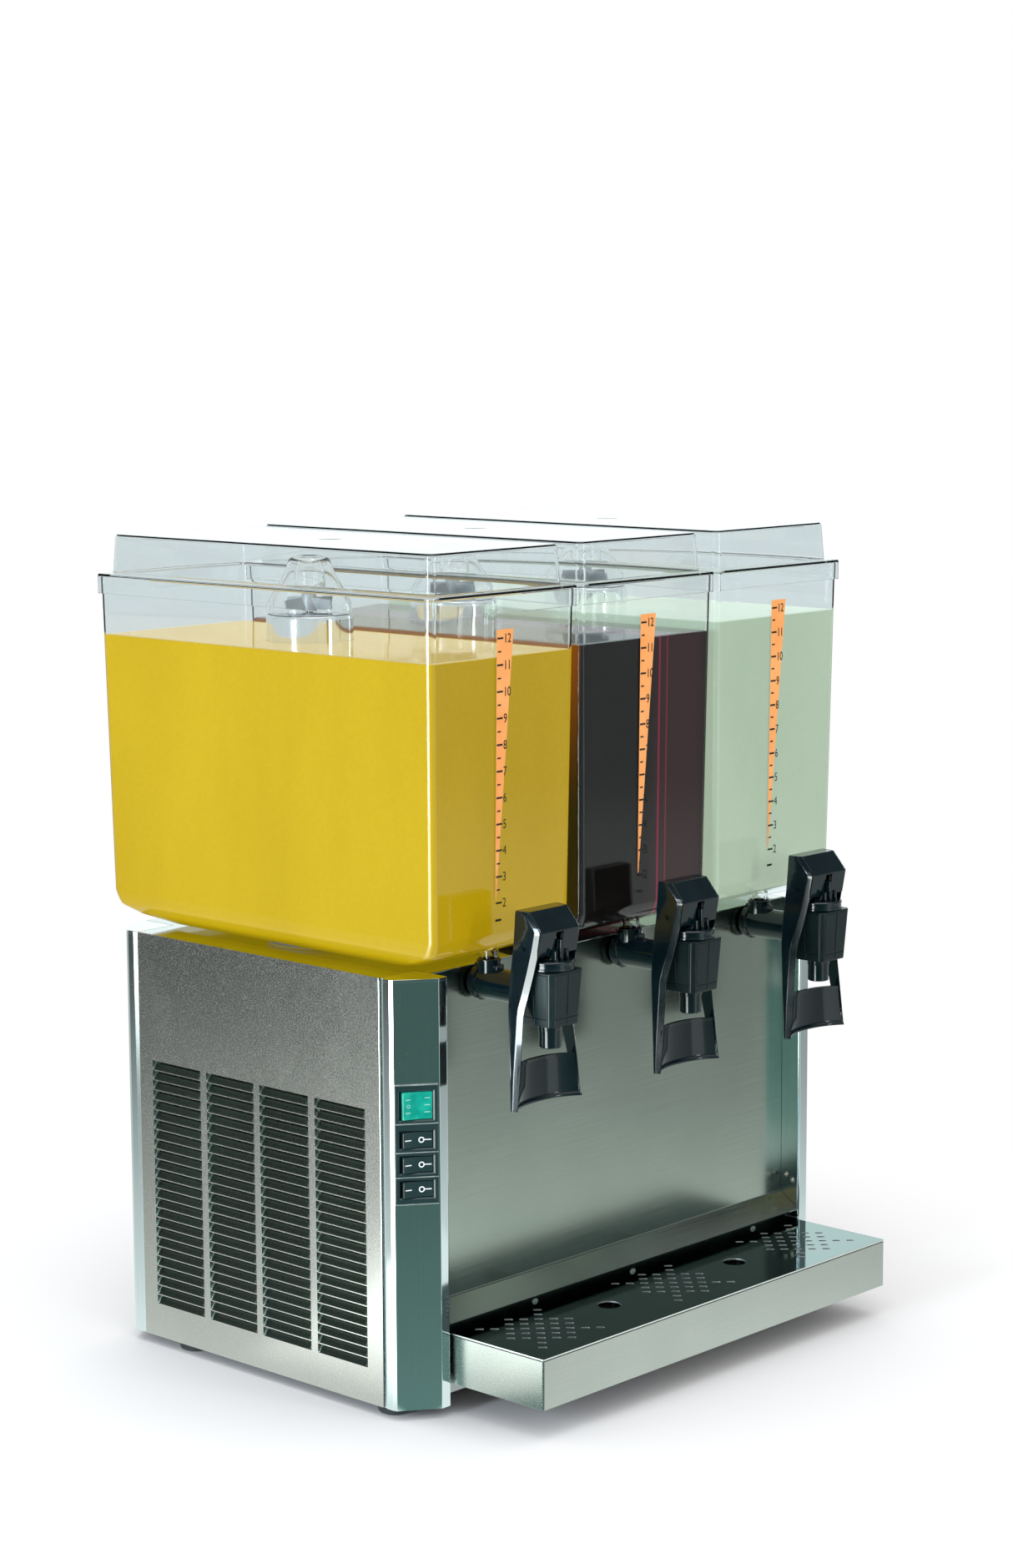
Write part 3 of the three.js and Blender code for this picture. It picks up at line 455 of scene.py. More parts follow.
def drink(name, dark, light, grain, glow, bands=()):
    """Cloudy liquid. Its glow stands for the light that comes through it from behind, and so do its
    bands across the bowl, each with its middle, half width (mm), colour and strength."""
    n = Nodes(name)
    t = n.tree
    n.set(IOR=1.34, Roughness=0.05, Emission_Strength=glow)
    cloud = n.noise(7, (1, 1, 0.35), detail=5)
    pulp = n.noise(grain, detail=2)
    share = n.spread(chain(t, "MULTIPLY_ADD", pulp, 0.25, cloud), 0, 1, 0.4, 0.85)
    n.colour(share, dark, light)
    n.colour(share, dark, light, "Emission Color")
    n.bump(pulp, 0.02)
    shader = n.shader
    if bands:
        split = n.add("SeparateXYZ")
        t.links.new(n.where, split.inputs[0])
    for middle, half, colour, strength in bands:
        away = chain(t, "ABSOLUTE", chain(t, "SUBTRACT", split.outputs["X"], middle / 1000))
        band = ease(t, away, half * 0.35 / 1000, half / 1000, strength, 0)
        shader = join(t, "AddShader", shader, emission(t, colour, band))
    t.links.new(shader, n.out)
    n.material.cycles.emission_sampling = "NONE"
    return n.material


# ------------------------------------------------------------------ materials
BRUSH_Z = (900, 900, 9)          # grain that runs up and down
BRUSH_X = (9, 900, 900)          # grain that runs from side to side
SIDE_STEEL = steel("side_steel", (0.44, 0.44, 0.42), (0.53, 0.53, 0.51), (0.20, 0.30), BRUSH_X, 0.025)
# the louvre blades are a darker, greener copy of the side steel: painted shade on the pressed-in blades
LOUVRE_STEEL_SHADED = steel("louvre_steel", (0.075, 0.105, 0.085), (0.12, 0.16, 0.135), (0.24, 0.34), BRUSH_X,
    0.02)
FRONT_STEEL = steel("front_steel", (0.33, 0.385, 0.34), (0.43, 0.49, 0.44), (0.17, 0.25), BRUSH_X, 0.02)
TRAY_STEEL = steel("tray_steel", (0.41, 0.44, 0.415), (0.53, 0.56, 0.53), (0.20, 0.32), BRUSH_X, 0.04)
# the corner posts' steel is a brighter, teal-tinted copy of the side steel: painted reflection colour
POST_STEEL_TINTED = steel("post_steel", (0.62, 0.71, 0.73), (0.73, 0.82, 0.84), (0.05, 0.10), BRUSH_Z, 0.01)
MIRROR_STEEL = steel("mirror_steel", (0.44, 0.52, 0.50), (0.54, 0.62, 0.60), (0.04, 0.08), BRUSH_X, 0.004)
# the tray cover's steel is a dark, teal copy of the polished steel: painted dark reflection
COVER_STEEL_DARKENED = steel("cover_steel", (0.17, 0.29, 0.27), (0.22, 0.35, 0.33), (0.04, 0.08), BRUSH_X, 0.003)
# the edge steel is a much brighter copy of the steel, for slot walls, tabs and switch dividers: painted
# highlight
EDGE_HIGHLIGHT_STEEL = steel("cut_edge", (0.80, 0.83, 0.82), (0.95, 0.97, 0.96), (0.38, 0.5), (300, 300, 300), 0.04)
# the cooling columns' steel is lighter than the other steels and varies in coarse upright bands: painted
# highlight
COLUMN_STEEL_BRIGHTENED = steel("column_steel", (0.72, 0.76, 0.77), (1, 1, 1), (0.05, 0.10), (130, 130, 0.8), 0)
ZINC = steel("galvanised", (0.30, 0.32, 0.32), (0.46, 0.48, 0.48), (0.35, 0.55), (60, 60, 60), 0.08)
FINS = steel("condenser_fins", (0.34, 0.36, 0.36), (0.55, 0.57, 0.57), (0.30, 0.50), (900, 30, 30), 0.10)
SCREW = steel("screw_metal", (0.45, 0.43, 0.36), (0.70, 0.68, 0.60), (0.20, 0.35), (300, 300, 300), 0.05)
CLEAR = clear("clear_plastic", (0.988, 0.995, 0.995), 0.004, 0.0015)
CRYSTAL = clear("crystal_plastic", (0.995, 0.999, 0.999), 0.003, 0.002, (0.98, 0.99, 0.99))
TAP_BLACK = plastic("tap_plastic", (0.0012, 0.007, 0.010), (0.003, 0.012, 0.016), (0.12, 0.20), 0.015, 500,
    0.6, 0.3)
VALVE_BLACK = plastic("valve_plastic", (0.003, 0.010, 0.012), (0.007, 0.018, 0.020), (0.28, 0.40), 0.08,
    700, 0, 0.4)
SWITCH_BLACK = plastic("switch_plastic", (0.012, 0.030, 0.031), (0.018, 0.040, 0.041), (0.14, 0.24), 0.03,
    900, 0, 0.5)
MACHINE_BLACK = plastic("machine_black", (0.010, 0.011, 0.012), (0.022, 0.023, 0.025), (0.35, 0.6), 0.2,
    300)
RUBBER = plastic("foot_rubber", (0.012, 0.018, 0.020), (0.028, 0.036, 0.040), (0.6, 0.8), 0.25, 600)
SEAL = plastic("seal_rubber", (0.50, 0.51, 0.49), (0.62, 0.63, 0.60), (0.45, 0.6), 0.15, 500)
WHITE = plastic("white_plastic", (0.70, 0.71, 0.69), (0.82, 0.83, 0.81), (0.3, 0.45), 0.08, 500)
MARK_WHITE = plastic("mark_white", (0.72, 0.76, 0.76), (0.86, 0.90, 0.90), (0.35, 0.45), 0.02, 900)
MARK_GREEN = plastic("mark_green", (0.22, 0.55, 0.46), (0.34, 0.66, 0.58), (0.3, 0.4), 0.02, 900)
MARK_BLACK = plastic("mark_black", (0.010, 0.009, 0.008), (0.022, 0.020, 0.018), (0.4, 0.5), 0.02, 900)
SCALE_ORANGE = plastic("scale_orange", (0.90, 0.34, 0.09), (0.96, 0.42, 0.13), (0.3, 0.42), 0.03, 700)
JUICE = drink("yellow_juice", (0.58, 0.375, 0.003), (0.68, 0.455, 0.008), 260, 0.62)
COLA = drink("dark_drink", (0.007, 0.008, 0.007), (0.016, 0.010, 0.009), 60, 0.4,
    ((-81.5, 4.5, (0.55, 0.13, 0.01), 0.4), (42, 46, (0.035, 0.008, 0.012), 0.6),
    (17, 1.6, (0.30, 0.005, 0.05), 0.6), (26.5, 1.2, (0.26, 0.004, 0.04), 0.5)))


PALE = drink("pale_drink", (0.50, 0.64, 0.47), (0.59, 0.74, 0.56), 260, 0.66)


def green_lens():
    n = Nodes("green_lens")
    n.set(Roughness=0.12, Coat_Weight=0.6, Coat_Roughness=0.04, Emission_Strength=0.45)
    cloud = n.spread(n.noise(60, detail=2), 0, 1)
    n.colour(cloud, (0, 0.20, 0.15), (0.01, 0.36, 0.27))
    n.colour(cloud, (0, 0.22, 0.16), (0.02, 0.42, 0.30), "Emission Color")
    n.bump(n.noise(420, detail=1), 0.08)
    return n.material


GREEN = green_lens()

KEPT = {"deck": MIRROR_STEEL, "rear_panel": FRONT_STEEL, "base_pan": ZINC, "tray_bracket": ZINC,
    "fan_motor": ZINC, "condenser": FINS, "condenser_fan": MACHINE_BLACK, "compressor": MACHINE_BLACK,
    "power_inlet": MACHINE_BLACK,}
for side, _ in SIDES:
    KEPT[side + "_stirrer_motor"] = MACHINE_BLACK
for name, material in KEPT.items():
    NODES[name].data.materials.clear()
    NODES[name].data.materials.append(material)


# ------------------------------------------------------------------ bowls, drinks, lids
def bowl_ring(x, z, inset, extra_x, extra_y, radius):
    """Section of a bowl at a height, moved in from its outer face."""
    taper = (min(z, BOWL_RIM) - BOWL_RIM) * DRAFT if z > BOWL_BEND else (BOWL_BEND - BOWL_RIM) * DRAFT
    return round_rect(x, BOWL_Y, z, BOWL_HALF_X + taper - inset - extra_x,
        BOWL_HALF_Y + taper - inset - extra_y, max(radius - inset * 0.7, 2.2))


# (height above the bottom, extra inset in x, extra inset in y, corner radius) of the bend
BEND = ((0, 23, 47.5, 15), (0.25, 21.2, 44.5, 15), (3.8, 14.2, 33, 14), (7.5, 7, 21, 12),
    (11, 4.2, 12.4, 10.5), (13.6, 2.2, 5.9, 9), (15.4, 1.35, 3.9, 8.2), (19, 0.75, 2.3, 7.2),
    (24.5, 0.12, 0.35, 6.3), (27, 0, 0, 6))


def bowl_shell(x):
    rings = [bowl_ring(x, BOWL_BOTTOM + h, 0, ex, ey, r) for h, ex, ey, r in BEND]
    rings += [bowl_ring(x, z, 0, 0, 0, 6) for z in (480, 600, BOWL_RIM - 0.9)]
    rings += [bowl_ring(x, BOWL_RIM, 0.9, 0, 0, 6), bowl_ring(x, BOWL_RIM, BOWL_WALL - 0.9, 0, 0, 6)]
    rings += [bowl_ring(x, z, BOWL_WALL, 0, 0, 6) for z in (BOWL_RIM - 0.9, 600, 480)]
    inner = [(h, ex, ey, r) for h, ex, ey, r in BEND if h > 3]
    rings += [bowl_ring(x, BOWL_BOTTOM + max(h, 3.8), BOWL_WALL, ex, ey, r)
        for h, ex, ey, r in reversed(inner)]
    rings.append(bowl_ring(x, BOWL_BOTTOM + BOWL_WALL, BOWL_WALL, 19, 41, 15))
    return loft(rings)


def drink_body(x, level):
    inset = BOWL_WALL - 0.4
    rings = [bowl_ring(x, BOWL_BOTTOM + BOWL_WALL - 0.4, inset, 19.4, 41.6, 15)]
    rings += [bowl_ring(x, BOWL_BOTTOM + max(h, 3.6), inset, ex, ey, r) for h, ex, ey, r in BEND if h > 3]
    rings += [bowl_ring(x, z, inset, 0, 0, 6) for z in (480, level - 0.6)]
    rings.append(bowl_ring(x, level, inset + 1.4, 0, 0, 6))
    rings.append(bowl_ring(x, level, inset + 6, 0, 0, 8))
    return loft(rings)


LID_HALF_X, LID_HALF_Y = 84.1, 195.0


def lid_shell(x):
    # (height, inset from the skirt's outside in x, in y, radius)
    outside = ((633.5, 0.5, 0.5, 4.5), (634, 0, 0, 5), (649.2, 0, 0, 5), (650.1, 0.3, 0.3, 5),
        (650.5, 1.1, 1.1, 5), (650.7, 8, 7, 6), (651.2, 9.1, 8, 6), (652.4, 9.4, 8.3, 6),
        (666, 10.2, 9, 6.2), (680.2, 11, 9.7, 6.4), (681.6, 11.35, 10, 6.4), (682.5, 12.1, 10.8, 6.2),
        (682.8, 13.6, 12.2, 6))
    inside = ((681.2, 14.2, 12.9, 5), (680.8, 13.2, 11.9, 5), (679.6, 12.65, 11.35, 5),
        (666, 11.85, 10.7, 4.8), (652.4, 11.05, 10, 4.6), (650.4, 10.9, 9.8, 4.6), (649.3, 10, 9, 4.6),
        (648.8, 8.4, 7.4, 4.4), (648.7, 2.8, 2.8, 3.6), (647.9, 1.7, 1.7, 3.4), (634, 1.6, 1.6, 3.4),
        (633.5, 1.2, 1.2, 3.6))
    top, under = ([round_rect(x, BOWL_Y, z, LID_HALF_X - ix, LID_HALF_Y - iy, r)
        for z, ix, iy, r in levels] for levels in (outside, inside))
    v1, f1 = loft(top)
    v2, f2 = loft(under)
    # the skirt's foot joins the two skins, so the caps at that end are left out
    n = len(top[0])
    f1 = f1[:-2] + [f1[-1]]
    f2 = f2[:-2] + [f2[-2]]
    start = len(v1)
    faces = f1 + [tuple(i + start for i in f) for f in f2]
    foot = start + (len(under) - 1) * n
    faces += [(i, (i + 1) % n, foot + (i + 1) % n, foot + i) for i in range(n)]
    return v1 + v2, faces


def front_face_y(z):
    """Where a bowl's front face lies at a height."""
    return BOWL_Y - (BOWL_HALF_Y + (z - BOWL_RIM) * DRAFT)


LITRE = 20.76  # between two numbers of the scale
MARK_2 = 406.7


def on_front(x0, outline, proud, depth=0.12):
    """Thin printed mark on a bowl's front face, from (x, z) points."""
    verts = [(x0 + px, front_face_y(z) - proud + back, z) for back in (0, depth) for px, z in outline]
    return verts, wrap(len(outline))


def digits(name, text, x, z, body):
    """Printed number: a flat font outline, made into a thin mesh on the bowl's front."""
    height = 7.4
    curve = bpy.data.curves.new(name, "FONT")
    curve.body = text
    curve.size = height / 0.72 / 1000  # a capital is 0.72 of the font's size
    curve.extrude = 0.00006
    curve.resolution_u = 4
    mesh = flatten(curve)
    spot = Matrix.Translation(place((x, front_face_y(z) - 0.30, z - height / 2)))
    mesh.transform(spot @ Matrix.Rotation(math.pi / 2, 4, "X") @ Matrix.Diagonal((0.8, 1, 1, 1)))
    mesh.materials.append(MARK_BLACK)
    obj = new_object(name, mesh)
    tidy_normals(obj, 30)
    assign(obj, body)


def build_scale(side, x):
    body = side + "_bowl_set"
    left, top, point = -8.9, 621, 409.0
    strip = [(left, point), (left + 1, point), (left + 18.9, top), (left, top)]
    make(side + "_scale_strip", [on_front(x, strip, 0.15)], SCALE_ORANGE, body)

    def tick(start, end, z, half):
        a, b = left + start, left + end
        return on_front(x, [(a, z - half), (b, z - half), (b, z + half), (a, z + half)], 0.30)

    ticks = []
    for half_litres in range(4, 25):
        z = MARK_2 + (half_litres - 4) * LITRE / 2
        ticks.append(tick(1.4, 5, z, 0.6) if half_litres % 2 else tick(0.6, 7.2, z, 0.75))
    ticks.append(tick(0, 6.6, MARK_2 - 13.7, 0.9))
    make(side + "_scale_ticks", ticks, MARK_BLACK, body)
    for litres in range(2, 13):
        digits("%s_litre_%d" % (side, litres), str(litres), x + left + 8, MARK_2 + (litres - 2) * LITRE,
            body)


def build_bowls():
    drinks = {"left": JUICE, "centre": COLA, "right": PALE}
    for side, x in SIDES:
        body = side + "_bowl_set"
        bowl = make(side + "_clear_bowl", [bowl_shell(x)], CLEAR, body, [side + "_bowl"])
        hole = lathe([(0, 350), (39.9, 350), (39.9, 366), (0, 366)], x, COOLER_Y, segments=64)
        bore = lathe([(0, 345), (5, 345), (5, 380), (0, 380)], x, NECK_Y, segments=24)
        carve(bowl, [hole, bore])
        neck = [(5, 352), (6.9, 352), (7.4, 352.6), (7.4, 367), (5, 367), (5, 352)]
        make(side + "_bowl_neck", [lathe(neck, x, NECK_Y, segments=32)], CLEAR, body)
        fill = make(side + "_drink", [drink_body(x, DRINK_LEVELS[side])], drinks[side], body)
        carve(fill, [lathe([(0, 340), (40.2, 340), (40.2, 364), (36, 366), (36, 700), (0, 700)], x,
            COOLER_Y, segments=72)])
        ring = [(36.2, 354.3), (39.3, 354.3), (39.6, 354.8), (39.6, 361.5), (38.4, 363.2), (37, 363.2),
            (36.2, 361.8), (36.2, 354.3)]
        make(side + "_seal_ring", [lathe(ring, x, COOLER_Y, segments=64)], SEAL, body,
            [side + "_bowl_seal"])
        build_scale(side, x)
        mark = [(0, 682.6), (9, 682.6), (9.6, 682.85), (9, 683), (0, 683)]
        make(side + "_clear_lid", [lid_shell(x)], CLEAR, side + "_lid_body",
            [side + "_lid"])
        make(side + "_lid_gate_mark", [lathe(mark, x, BOWL_Y, segments=40)], CLEAR, side + "_lid_body")


# ------------------------------------------------------------------ cooling columns
def build_columns():
    for side, x in SIDES:
        column = [(0, 620.8), (34.5, 620.8), (34.5, 349.5), (39.6, 349.5), (39.6, 352.4), (35.7, 352.4),
            (35.7, 617.6), (35.3, 619.6), (34.2, 621.2), (32.4, 622), (3.2, 622), (2.4, 622.6),
            (2.4, 633.4), (1.8, 634), (0, 634)]
        # the column takes the lightened column steel: painted highlight
        make(side + "_cooling_column", [lathe(column, x, COOLER_Y, segments=80)], COLUMN_STEEL_BRIGHTENED, "cabinet",
            [side + "_evaporator"])
        outer = [(35.2, 622.6), (35.2, 626), (34.6, 629), (33, 632.2), (30.2, 636.4), (26.6, 642.2),
            (23.2, 648.4), (20.4, 654.4), (18.8, 659), (18, 662.6), (16.4, 666), (13.4, 668.2), (9, 669),
            (7, 669)]
        inner = [(r - (1.7 if z < 664 else 1.1), z - (0.2 if z < 660 else 1.6)) for r, z in outer[1:-1]]
        bell = outer + [(6.4, 668.4), (6.6, 667.2)] + inner[::-1] + [(33.5, 622.6), outer[0]]
        make(side + "_clear_bell", [lathe(bell, x, COOLER_Y, segments=64)], CRYSTAL, "cabinet",
            [side + "_pump_cover"])
        cup = [(9.6, 641), (12.2, 641), (12.6, 643), (12.2, 655), (10.8, 660.6), (8.2, 663.4), (5, 664.2),
            (5, 662.6), (7.6, 661.6), (9.4, 659), (10.4, 654), (10.4, 643), (9.6, 641)]
        make(side + "_bell_guide", [lathe(cup, x, COOLER_Y, segments=40)], CRYSTAL, "cabinet")
        build_impeller(side, x)


def build_impeller(side, x):
    bottom = 623.2
    hub = [(2.9, bottom), (6.2, bottom), (6.6, bottom + 0.6), (6.4, bottom + 11), (5.4, bottom + 13.4),
        (3, bottom + 14), (0, bottom + 14), (0, bottom + 12), (2.9, bottom + 12)]
    parts = [lathe(hub, x, COOLER_Y, segments=32)]
    for quarter in range(4):
        turn = Matrix.Rotation(quarter * math.pi / 2, 4, "Z")
        rings = []
        for step in range(7):
            t = step / 6
            r = 5.0 + 21.0 * t
            pitch = 0.55 - 0.3 * t
            high = 4.6 - 1.2 * t * t
            ring = []
            for s, h in ((-0.8, -high), (0.8, -high), (0.8, high), (-0.8, high)):
                px = Vector((r, s * math.cos(pitch) - h * math.sin(pitch),
                    bottom + 6 + s * math.sin(pitch) + h * math.cos(pitch)))
                q = turn @ px
                ring.append((q.x + x, q.y + COOLER_Y, q.z))
            rings.append(ring)
        parts.append(loft(rings))
    make(side + "_impeller_wheel", parts, WHITE, side + "_impeller_body",
        [side + "_impeller"], bevel=0.35)


# ------------------------------------------------------------------ cabinet sheet metal
SWITCH_LOW, SWITCH_HIGH = 175.7, 270.7


def build_posts():
    """Corner posts, each in plan from its side edge round its chamfer to its return."""
    path = rounded_path([(1.5, 36), (0, 31.2, 2), (0, 25, 1.5), (1, 21.65, 0.6), (29.7, 0, 1.6),
        (40, 0, 2.6), (40, 19.8)], 5, 6)
    for name, sx, sy in (("front_left_post", 1, 1), ("front_right_post", -1, 1), ("rear_left_post", 1, -1),
            ("rear_right_post", -1, -1)):
        windowed = name == "front_left_post"
        run = split_path(path, ((0, 22.4), (29.7, 0)), 17.1) if windowed else path
        rows = [8.5, SWITCH_LOW, SWITCH_HIGH, 352] if windowed else [8.5, 352]
        marks = [i for i, p in enumerate(run) if len(p) > 2]

        def at(p):
            return sx * (p[0] - HALF_WIDTH), p[1] - 20 if sy > 0 else BODY_BACK - p[1]

        # the post sheets and caps take the tinted post steel: painted reflection colour
        grid_sheet(name + "_sheet", range(len(run)), rows, lambda u, z: (*at(run[u]), z),
            lambda i, j: not (windowed and j == 1 and marks[0] <= i < marks[1]), 1.6 * sx * sy, POST_STEEL_TINTED,
            [name])
        outline = [at(p) for p in path + [(40, 36)]]
        make(name + "_cap", [prism(outline, 351.6, 354, "z")], POST_STEEL_TINTED, "cabinet",
            bevel=0.7, segments=3)


def build_panel_flanges():
    parts = []
    for x0, x1 in ((-260.2, -258.6), (258.6, 260.2)):
        for y0, y1 in ((8, 24), (294, 310)):
            parts.append(slab((x0, y0, 9.5), (x1, y1, 351)))
    make("panel_flanges", parts, ZINC, "cabinet")


def split_path(path, span, half):
    """The path with two extra points either side of the middle of one straight run, which carry a mark."""
    a, b = Vector(span[0]), Vector(span[1])
    middle, along = (a + b) / 2, (b - a).normalized()
    out = []
    placed = False
    for i, p in enumerate(path):
        if not placed and i and (Vector(p) - middle).dot(along) > half:
            first, second = middle - along * half, middle + along * half
            out.append((first.x, first.y, 1))
            for k in range(1, 5):
                q = first.lerp(second, k / 5)
                out.append((q.x, q.y))
            out.append((second.x, second.y, 1))
            placed = True
        out.append(p)
    return out


LOUVRE_COLUMNS = ((33, 90), (97.5, 154.5), (161.5, 218.5), (226, 285.3))
LOUVRE_ROWS, LOUVRE_PITCH, LOUVRE_LOW = 25, 8.42, 37.5


def build_side_panels():
    """Side sheets with pressed-in louvres: each blade leans inwards to an opening under the next strip."""
    rows = [(z, z + LOUVRE_PITCH - 0.9) for z in [LOUVRE_LOW + row * LOUVRE_PITCH
        for row in range(LOUVRE_ROWS)]]
    ys = [16.6, *[y for column in LOUVRE_COLUMNS for y in column], 301.4]
    zs = [8.5, *[z for row in rows for z in row], 354]
    for side, sx in (("left", -1), ("right", 1)):
        grid_sheet(side + "_panel_sheet", ys, zs, lambda y, z: (sx * HALF_WIDTH, y, z),
            lambda i, j: not (i % 2 and j % 2), 1.2 * sx, SIDE_STEEL,
            [side + "_side_panel"])
        blades = [louvre(sx, *column, *row) for column in LOUVRE_COLUMNS for row in rows]
        # the blades take the darker louvre steel: painted shade
        make(side + "_louvres", blades, LOUVRE_STEEL_SHADED, "cabinet", smooth=50)


def louvre(sx, a, b, low, high):
    """One pressed louvre as a closed thin scoop, open at its top."""
    depth, skin, end = 5.4, 0.9, 3.2
    rings = []
    # sections along y: shallow at the ends, full depth between
    for y, share in ((a, 0), (a + end * 0.35, 0.55), (a + end, 1), (b - end, 1), (b - end * 0.35, 0.55),
            (b, 0)):
        reach = max(depth * share, 0.35)
        profile = ((0, low), (reach * 0.10, low + 1), (reach * 0.82, high - 1.6), (reach, high - 0.5))
        rings.append([(sx * (HALF_WIDTH - n), y, z) for n, z in profile] + [(sx * (HALF_WIDTH - n - skin),
            y, z + 0.1) for n, z in reversed(profile)])
    return loft(rings)


def build_front_panel():
    panel = rounded_path([(0, 352.5), (0, 88.5, 2.2), (-19.6, 74.9)], 2.2, 6)
    lower = [(0, 87), (1.2, 87), (1.2, 26), (0, 26)]
    make("front_panel_sheet", [prism(outline, -221.7, 221.7) for outline in (thicken(panel, 1.2), lower)],
        FRONT_STEEL, "cabinet", ["front_panel"], smooth=40)
    nosing = half_round(0.4, 353.3, 1, 0.72, math.pi / 2) + [(3, 352.6), (3, 354.02)]
    make("deck_nosing", [prism(nosing, -221.6, 221.6)], MIRROR_STEEL, "cabinet", smooth=40)


def screw(x, y, z, facing, radius):
    """Round screw head. facing is the axis it points along."""
    dome = [(0, 1.9), (radius * 0.45, 1.75), (radius * 0.8, 1.2), (radius, 0.4), (radius, 0), (0, 0)]
    v, f = lathe(dome, segments=24)
    turn = Vector((0, 0, 1)).rotation_difference(Vector(facing)).to_matrix()
    return [tuple(turn @ Vector(p) + Vector((x, y, z))) for p in v], f


def build_screws():
    parts = [screw(222, -13, 100, (-1, 0, 0), 2.7), screw(221.9, -6, 104, (-1, 0, 0), 2.2),
        screw(-222, -13, 100, (1, 0, 0), 2.7)]
    make("post_screws", parts, SCREW, "cabinet")
    rear = [screw(x, BODY_BACK, z, (0, 1, 0), 3.4) for x in (-205, 205) for z in (24, 180, 336)]
    make("rear_screws", rear, SCREW, "cabinet")


def build_feet():
    for name, x, y in (("front_left_foot", -242, 22), ("front_right_foot", 242, 22),
            ("rear_left_foot", -242, 259), ("rear_right_foot", 242, 259)):
        profile = [(0, 0), (12.6, 0), (13.6, 0.5), (14.5, 1.8), (14.3, 3.6), (13.6, 5.2), (13.2, 8.2),
            (0, 8.2)]
        make(name + "_rubber", [lathe(profile, x, y, segments=48)], RUBBER, "cabinet",
            [name])


# ------------------------------------------------------------------ switches
ROCKER_PIN = 4.5  # depth of a rocker's pin behind the switch face
CHAMFER_ANGLE = -math.atan2(22.4, 29.7)
CHAMFER_MIDDLE = Vector((-262 + 29.7 / 2, -20 + 22.4 / 2, 0))


def on_chamfer(part, tilt=0):
    """From the switch face's frame (x along it, -y out of it) to the cabinet's, tilted like a rocker."""
    verts = []
    for x, y, z in part[0]:
        if tilt:
            x, y = turned(x, y - ROCKER_PIN, tilt)
            y += ROCKER_PIN
        x, y = turned(x, y, CHAMFER_ANGLE)
        verts.append((CHAMFER_MIDDLE.x + x, CHAMFER_MIDDLE.y + y, z))
    return verts, part[1]


def bezel(low, high, in_x, in_low, in_high):
    """Rectangular frame with a rectangular window."""
    half, front, back = 17.2, -1.5, 2.6
    rings = []
    for y, hx, lo, hi in ((back, half, low, high), (front + 0.5, half, low, high),
            (front, half - 0.6, low + 0.6, high - 0.6), (front, in_x + 1.3, in_low - 1.3, in_high + 1.3),
            (front + 1.2, in_x, in_low, in_high), (back, in_x, in_low, in_high)):
        rings.append([(-hx, y, lo), (hx, y, lo), (hx, y, hi), (-hx, y, hi)])
    return loft(rings, closed=True)


def build_switches():
    hx, tilt = 12.2, math.radians(8)
    # name, height, half height of the rocker, bottom and top of its bezel
    rockers = (("main", 254.2, 10.8, 240.1, 270.4), ("left_stirrer", 227, 6.2, 217.2, 239.7),
        ("centre_stirrer", 207.2, 6.2, 197.4, 216.8), ("right_stirrer", 187.4, 6.2, 176, 197))
    bezels = [on_chamfer(bezel(low, high, hx + 0.9, z - hz - 0.4, z + hz + 0.4))
        for _, z, hz, low, high in rockers]
    make("switch_bezels", bezels, SWITCH_BLACK, "cabinet", ["switch_plate"], smooth=25,
        bevel=0.25)
    make("switch_housing", [on_chamfer(slab((-16.5, 8.6, 177), (12, 20, 270)))], MACHINE_BLACK, "cabinet")
    # the dividers take the bright edge steel: painted highlight lines between the bezels
    dividers = [on_chamfer(slab((-17.1, -1.2, z - 0.45), (17.1, 2, z + 0.45)))
        for z in (270.85, 239.9, 217, 197.2, 175.6)]
    make("switch_dividers", dividers, EDGE_HIGHLIGHT_STEEL, "cabinet")
    face = [(-hx + 0.3, -2.2), (-hx * 0.5, -1.35), (0, -0.95), (hx * 0.5, -1.35), (hx - 0.3, -2.2),
        (hx, 1.5), (hx * 0.45, 6.7), (-hx * 0.45, 6.7), (-hx, 1.5)]
    for name, z, hz, _, _ in rockers:
        if name == "main":
            cap, cap_slot, mark, mark_slot = GREEN, "green_plastic", MARK_GREEN, "green_plastic"
            marks = [rocker_bar(-9.6, -5.4, z + dz, 0.35) for dz in (5.2, -5.2)]
            marks += [rocker_bar(5.8, 10.2, z + dz, 0.3) for dz in (6, 0.4, -5.2)]
            marks.append(rocker_ring(-7.2, z, 1, 1.4))
        else:
            cap, cap_slot, mark, mark_slot = SWITCH_BLACK, "black_plastic", MARK_WHITE, "white_plastic"
            marks = [rocker_bar(-10.4, -5.2, z, 0.4), rocker_bar(5.4, 10.8, z, 0.4),
                rocker_ring(3, z, 1.5, 2.4)]
        body = name + "_rocker_body"
        make(name + "_rocker_cap", [on_chamfer(prism(face, z - hz, z + hz, "z"), tilt)], cap, body,
            [name + "_rocker"], bevel=0.5, smooth=40)
        make(name + "_rocker_marks", [on_chamfer(p, tilt) for p in marks], mark, body)


def rocker_crown(x):
    """Depth of the rocker's dished face."""
    t = abs(x) / 12.2
    return -0.95 - 0.8 * t if t < 0.5 else -1.35 - 0.85 * (t - 0.5) / 0.475


def rocker_bar(x0, x1, z, half):
    corners = [(x0, rocker_crown(x0)), (x1, rocker_crown(x1))]
    outline = [(px, py - 0.12) for px, py in corners] + [(px, py + 0.3) for px, py in reversed(corners)]
    return prism(outline, z - half, z + half, "z")


def rocker_ring(x, z, inner, outer):
    y = rocker_crown(x)
    ring = [(inner, y - 0.3), (outer, y - 0.3), (outer, y + 0.3), (inner, y + 0.3), (inner, y - 0.3)]
    return lathe(ring, x, 0, z, 28, "y")


# ------------------------------------------------------------------ drip tray
TRAY_HALF, TRAY_FRONT, TRAY_BACK = 219.3, -116, -2.0
WELLS, WELL_Y = (-80.5, 80.5), -61.5  # the two drain wells


